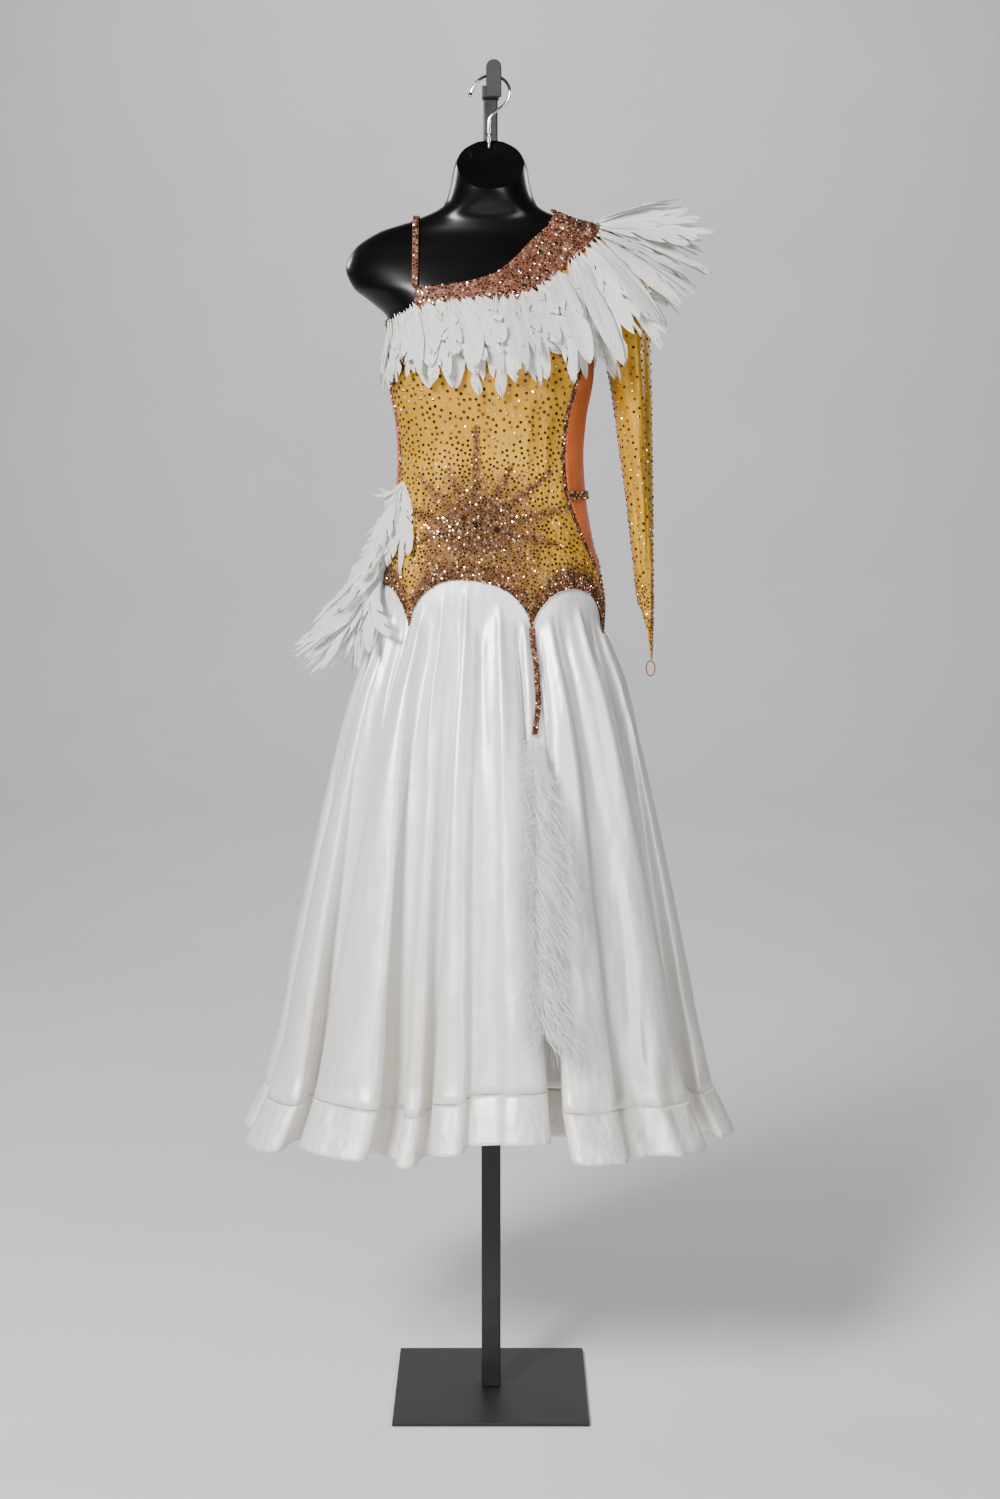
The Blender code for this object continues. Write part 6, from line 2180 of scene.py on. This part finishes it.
def shoulder_path(along, rise, spare, dice, steps=SHAFT_STEPS):
    """A feather that leaves the band, clears what is under it, and droops at its end."""
    x, y, z, length = (SWEEP_CURVES[name](along) for name in ("x", "y", "z", "length"))
    direction = Vector((x, y + dice.uniform(-0.20, 0.20), z + rise + dice.uniform(-0.12, 0.12)))
    direction.normalize()
    root, backing = shoulder_root(blend(TRIM_END - 0.02, 2.02 - TRIM_END, along))
    length *= dice.uniform(0.82, 1.06)
    path = droop_path(root, direction, length, length * dice.uniform(0.12, 0.30), steps)
    cleared = [path[0]]
    for spot in path[1:]:
        spot = push_clear(torso_tree, spot, 0.010 + spare)
        cleared.append(push_clear(SLEEVE_TREE, spot, 0.003 + spare))
    for _ in range(2):
        cleared = [cleared[0]] + [(a + b * 2 + c) / 4 for a, b, c in zip(
            cleared, cleared[1:], cleared[2:])] + [cleared[-1]]
    return cleared, backing


def shoulder_feathers(seed=31, layers=((24, -0.16, 0.001), (22, 0.0, 0.005), (20, 0.16, 0.010),
                                       (18, 0.30, 0.014))):
    plumage = Plumage(seed)
    dice = plumage.dice
    for count, rise, spare in layers:
        for i in range(count):
            along = (i + dice.uniform(0.1, 0.9)) / count
            path, backing = shoulder_path(along, rise, spare, dice)
            ups = []
            for k in range(len(path)):
                ahead = (path[min(k + 1, len(path) - 1)] - path[max(k - 1, 0)]).normalized()
                level = (backing - ahead * backing.dot(ahead)).normalized()
                up = level.cross(ahead).normalized()
                ups.append(up if up.z > 0 else -up)
            plumage.feather(path, twisted(path, ups, dice, 0.6), dice.uniform(0.022, 0.040),
                            lobes=20, splits=dice.choice((0, 1, 2, 3)),
                            round_=dice.uniform(1.6, 2.6))
    return plumage.make("feathers_shoulder")


seat(shoulder_feathers(), "feather_white", "feather_trim_shoulder")

# %% [markdown]
# The cluster at the bare side's hip is made of narrow, pointed feathers. They start in a line
# from the waist down, fall steeply at first, and then swing outwards over the skirt, one on top
# of another. A few are placed one by one: a broad tongue over the gold, a rounded one over the
# satin, and some wisps.

# %%
HIP_TIPS = table("along x z root", [
    (0.0, -0.16, 1.336, 0.0),
    (0.12, -0.19, 1.296, 0.16),
    (0.25, -0.22, 1.256, 0.34),
    (0.38, -0.262, 1.222, 0.5),
    (0.52, -0.284, 1.185, 0.66),
    (0.66, -0.278, 1.156, 0.8),
    (0.8, -0.236, 1.148, 0.92),
    (0.92, -0.2, 1.15, 1.0),
    (1.0, -0.172, 1.19, 1.0),
])
HIP_CURVES = {name: column(HIP_TIPS, "along", name) for name in ("x", "z", "root")}
HIP_FEATHERS = table("root x y z sag width round", [
    (0.0, -0.118, -0.14, 1.318, 0.01, 0.03, 2.6),
    (0.04, -0.133, -0.134, 1.286, 0.012, 0.012, 1.6),
    (0.1, -0.15, -0.12, 1.3, -0.004, 0.024, 2.0),
    (0.95, -0.142, -0.17, 1.203, -0.034, 0.03, 3.4),
    (0.9, -0.176, -0.165, 1.176, -0.02, 0.022, 2.2),
    (0.02, -0.172, -0.1, 1.405, -0.01, 0.006, 1.6),
    (0.05, -0.166, -0.085, 1.416, -0.004, 0.005, 1.6),
    (0.3, -0.187, -0.08, 1.345, -0.02, 0.006, 1.6),
])


def clear_of_skirt(spot, spare):
    """Move a point straight out until it is outside the satin."""
    angle = math.degrees(math.atan2(spot.x, -spot.y))
    share = skirt_share(angle, spot.z)
    if share <= 0.0:
        return spot
    satin = skirt_point(angle, share)
    reach, least = math.hypot(spot.x, spot.y), math.hypot(satin.x, satin.y) + spare
    if reach >= least:
        return spot
    return Vector((spot.x * least / reach, spot.y * least / reach, spot.z))


def hip_path(share, tip, sag):
    """A shaft from the waist line to its tip, steep at first and then swinging out."""
    height, angle = 1.424 - 0.112 * share, blend(-63.0, -75.0, share)
    root = on_form(angle, height, ease(height) + CLOTH + 0.0030)
    reach = (tip - root).length
    elbow = root + form_normal(angle, height) * 0.014 + Vector((sag, 0.0, -0.50 * reach))
    path = [root]
    for k in range(1, SHAFT_STEPS + 1):
        t = k / SHAFT_STEPS
        spot = root.lerp(elbow, t).lerp(elbow.lerp(tip, t), t)
        path.append(clear_of_skirt(push_clear(torso_tree, spot, 0.008), 0.008))
    return path


def hip_cluster(seed=41, rows=50):
    plumage = Plumage(seed)
    dice = plumage.dice
    facing = Vector((-0.35, -0.93, 0.10)).normalized()
    for share, x, y, z, sag, width, round_ in HIP_FEATHERS:
        path = hip_path(share, Vector((x, y, z)), sag)
        plumage.feather(path, twisted(path, [facing] * len(path), dice, 0.2), width, lobes=22,
                        ragged=0.10, splits=2 if width > 0.01 else 0, round_=round_)
    for i in range(rows):
        along = (i * 0.618) % 1.0
        deep = dice.uniform(-1.0, 1.0)
        out = dice.uniform(-0.004, 0.012) if dice.random() < 0.65 else dice.uniform(-0.050, 0.0)
        tip = Vector((HIP_CURVES["x"](along) - out, -0.085 + 0.050 * deep,
                      HIP_CURVES["z"](along) - 0.8 * out + dice.uniform(-0.010, 0.010)))
        share = min(max(HIP_CURVES["root"](along) + dice.uniform(-0.12, 0.08), 0.0), 1.0)
        path = hip_path(share, tip, dice.uniform(-0.034, 0.006))
        wide = dice.random() < 0.5
        plumage.feather(path, twisted(path, [facing] * len(path), dice, 0.55),
                        dice.uniform(0.019, 0.028) if wide else dice.uniform(0.009, 0.014),
                        lobes=22, sweep=0.15, ragged=0.16 if wide else 0.4, splits=4,
                        round_=dice.uniform(1.5, 2.2))
    return plumage.make("feathers_hip")


seat(hip_cluster(), "feather_white", "hip_feathers")

# %% [markdown]
# The plume is ostrich. Its barbs don't cling together, so each is a single thin ribbon that
# leaves the quill sideways, droops and waves. There are over a thousand on each side, and some
# stand forward.

# %%
def plume_depth(height):
    """How far forward the plume hangs, just outside the skirt's nearest fold."""
    nearest = min(skirt_point(angle, skirt_share(angle, height)).y for angle in range(0, 30, 2))
    return min(nearest, 0.0) - 0.006 - 0.008 * min((1.056 - height) / 0.1, 1.0)


PLUME_TOP, PLUME_LOW, QUILL_STEPS = 1.060, 0.655, 40


def quill_point(share):
    height = blend(PLUME_TOP, PLUME_LOW, share)
    wave = 0.0040 * math.sin(share * 7.0) * min(share * 6, 1.0)
    return Vector((blend(0.058, 0.077, share) + wave, plume_depth(height), height))


PLUME_FULLNESS = Smooth((0.0, 0.05, 0.20, 0.45, 0.75, 0.90, 1.0),
                        (0.35, 0.45, 0.80, 1.0, 0.80, 0.95, 0.80))


def ostrich(seed=51, barbs=3400, steps=6):
    plumage = Plumage(seed)
    dice = plumage.dice
    quill = [quill_point(i / QUILL_STEPS) for i in range(QUILL_STEPS + 1)]
    sewn = strip_foot(1.0)[0]
    quill[0] = Vector((quill[0].x, sewn.y - 0.004, quill[0].z))
    plumage.shaft(quill, [Vector((0, -1, 0))] * len(quill), 0.0013)
    for i in range(barbs):
        share = (i / barbs) ** 0.95
        at = share * QUILL_STEPS
        k = min(int(at), QUILL_STEPS - 1)
        root = quill[k].lerp(quill[k + 1], at - k)
        way = -1.0 if dice.random() < 0.38 else 1.0
        full = PLUME_FULLNESS(share) * (1.0 if way > 0 else 0.80)
        length = 0.082 * full * dice.uniform(0.55, 1.10)
        turn = math.radians(dice.gauss(24.0, 26.0))
        heading = Vector((way * math.cos(turn), -abs(math.sin(turn)) * 0.9,
                          dice.uniform(-0.85, -0.10))).normalized()
        fall, curl = dice.uniform(0.25, 0.65) * length, dice.uniform(-0.16, 0.16) * length
        spots, sides = [], []
        for step in range(steps + 1):
            t = step / steps
            spot = root + heading * length * t * (1 - 0.25 * t)
            spot += Vector((curl * math.sin(t * 5.0), curl * 0.6 * t * t, -fall * t ** 1.8))
            spot.y = min(spot.y, root.y + 0.004)
            spots.append(spot)
            sides.append(Vector((0.35, 0.10, 0.93)) * 0.00080 * (1 - 0.75 * t))
        plumage.ribbon(spots, sides, (0.2, 0.3))
    return plumage.make("ostrich_plume")


seat(ostrich(), "feather_white", "plume")

# %% [markdown]
# ## The sizes the cloth was cut to
#
# Each piece of cloth is given the width and length that a cutter would need, in metres, and
# what it lies on or hangs from, and its flat area is printed.

# %%
def cut_from(piece, width, length, held, *rests_on):
    """Print a cloth piece's flat area, which is half of its closed shell's, and its share of the
    rectangle.
    """
    area = sum(face.area for face in piece.data.polygons) / 2
    print(piece.name, "area", round(area, 4), "of the rectangle",
          round(area / (width * length), 2))


cut_from(bodice_front, 0.45, 0.60, "stretched", torso)
cut_from(bodice_back, 0.45, 0.60, "stretched", torso)
inserts, tabs = side_pieces[0::2], side_pieces[1::2]
for insert in inserts:
    cut_from(insert, 0.13, 0.37, "stretched", torso)
for tab in tabs:
    cut_from(tab, 0.017, 0.10, "laid", *inserts)
cut_from(bands["front"], 0.044, 0.44, "laid", bodice_front)
cut_from(bands["back"], 0.044, 0.44, "laid", bodice_back)
cut_from(strap, 0.011, 0.32, "stretched", torso)
cut_from(strip, 0.011, 0.160, "hung", gores[0], gores[1])
cut_from(sleeve, 0.40, 0.68, "hung", torso)
GORE_WIDTHS = (0.81, 0.58, 0.61, 0.73, 0.69, 0.63)
for gore, hem, width in zip(gores, hems, GORE_WIDTHS):
    cut_from(gore, width, 0.80, "hung", bodice_front, bodice_back)
    cut_from(hem, width * 1.12, HEM_DEPTH + 0.003, "hung", gore)
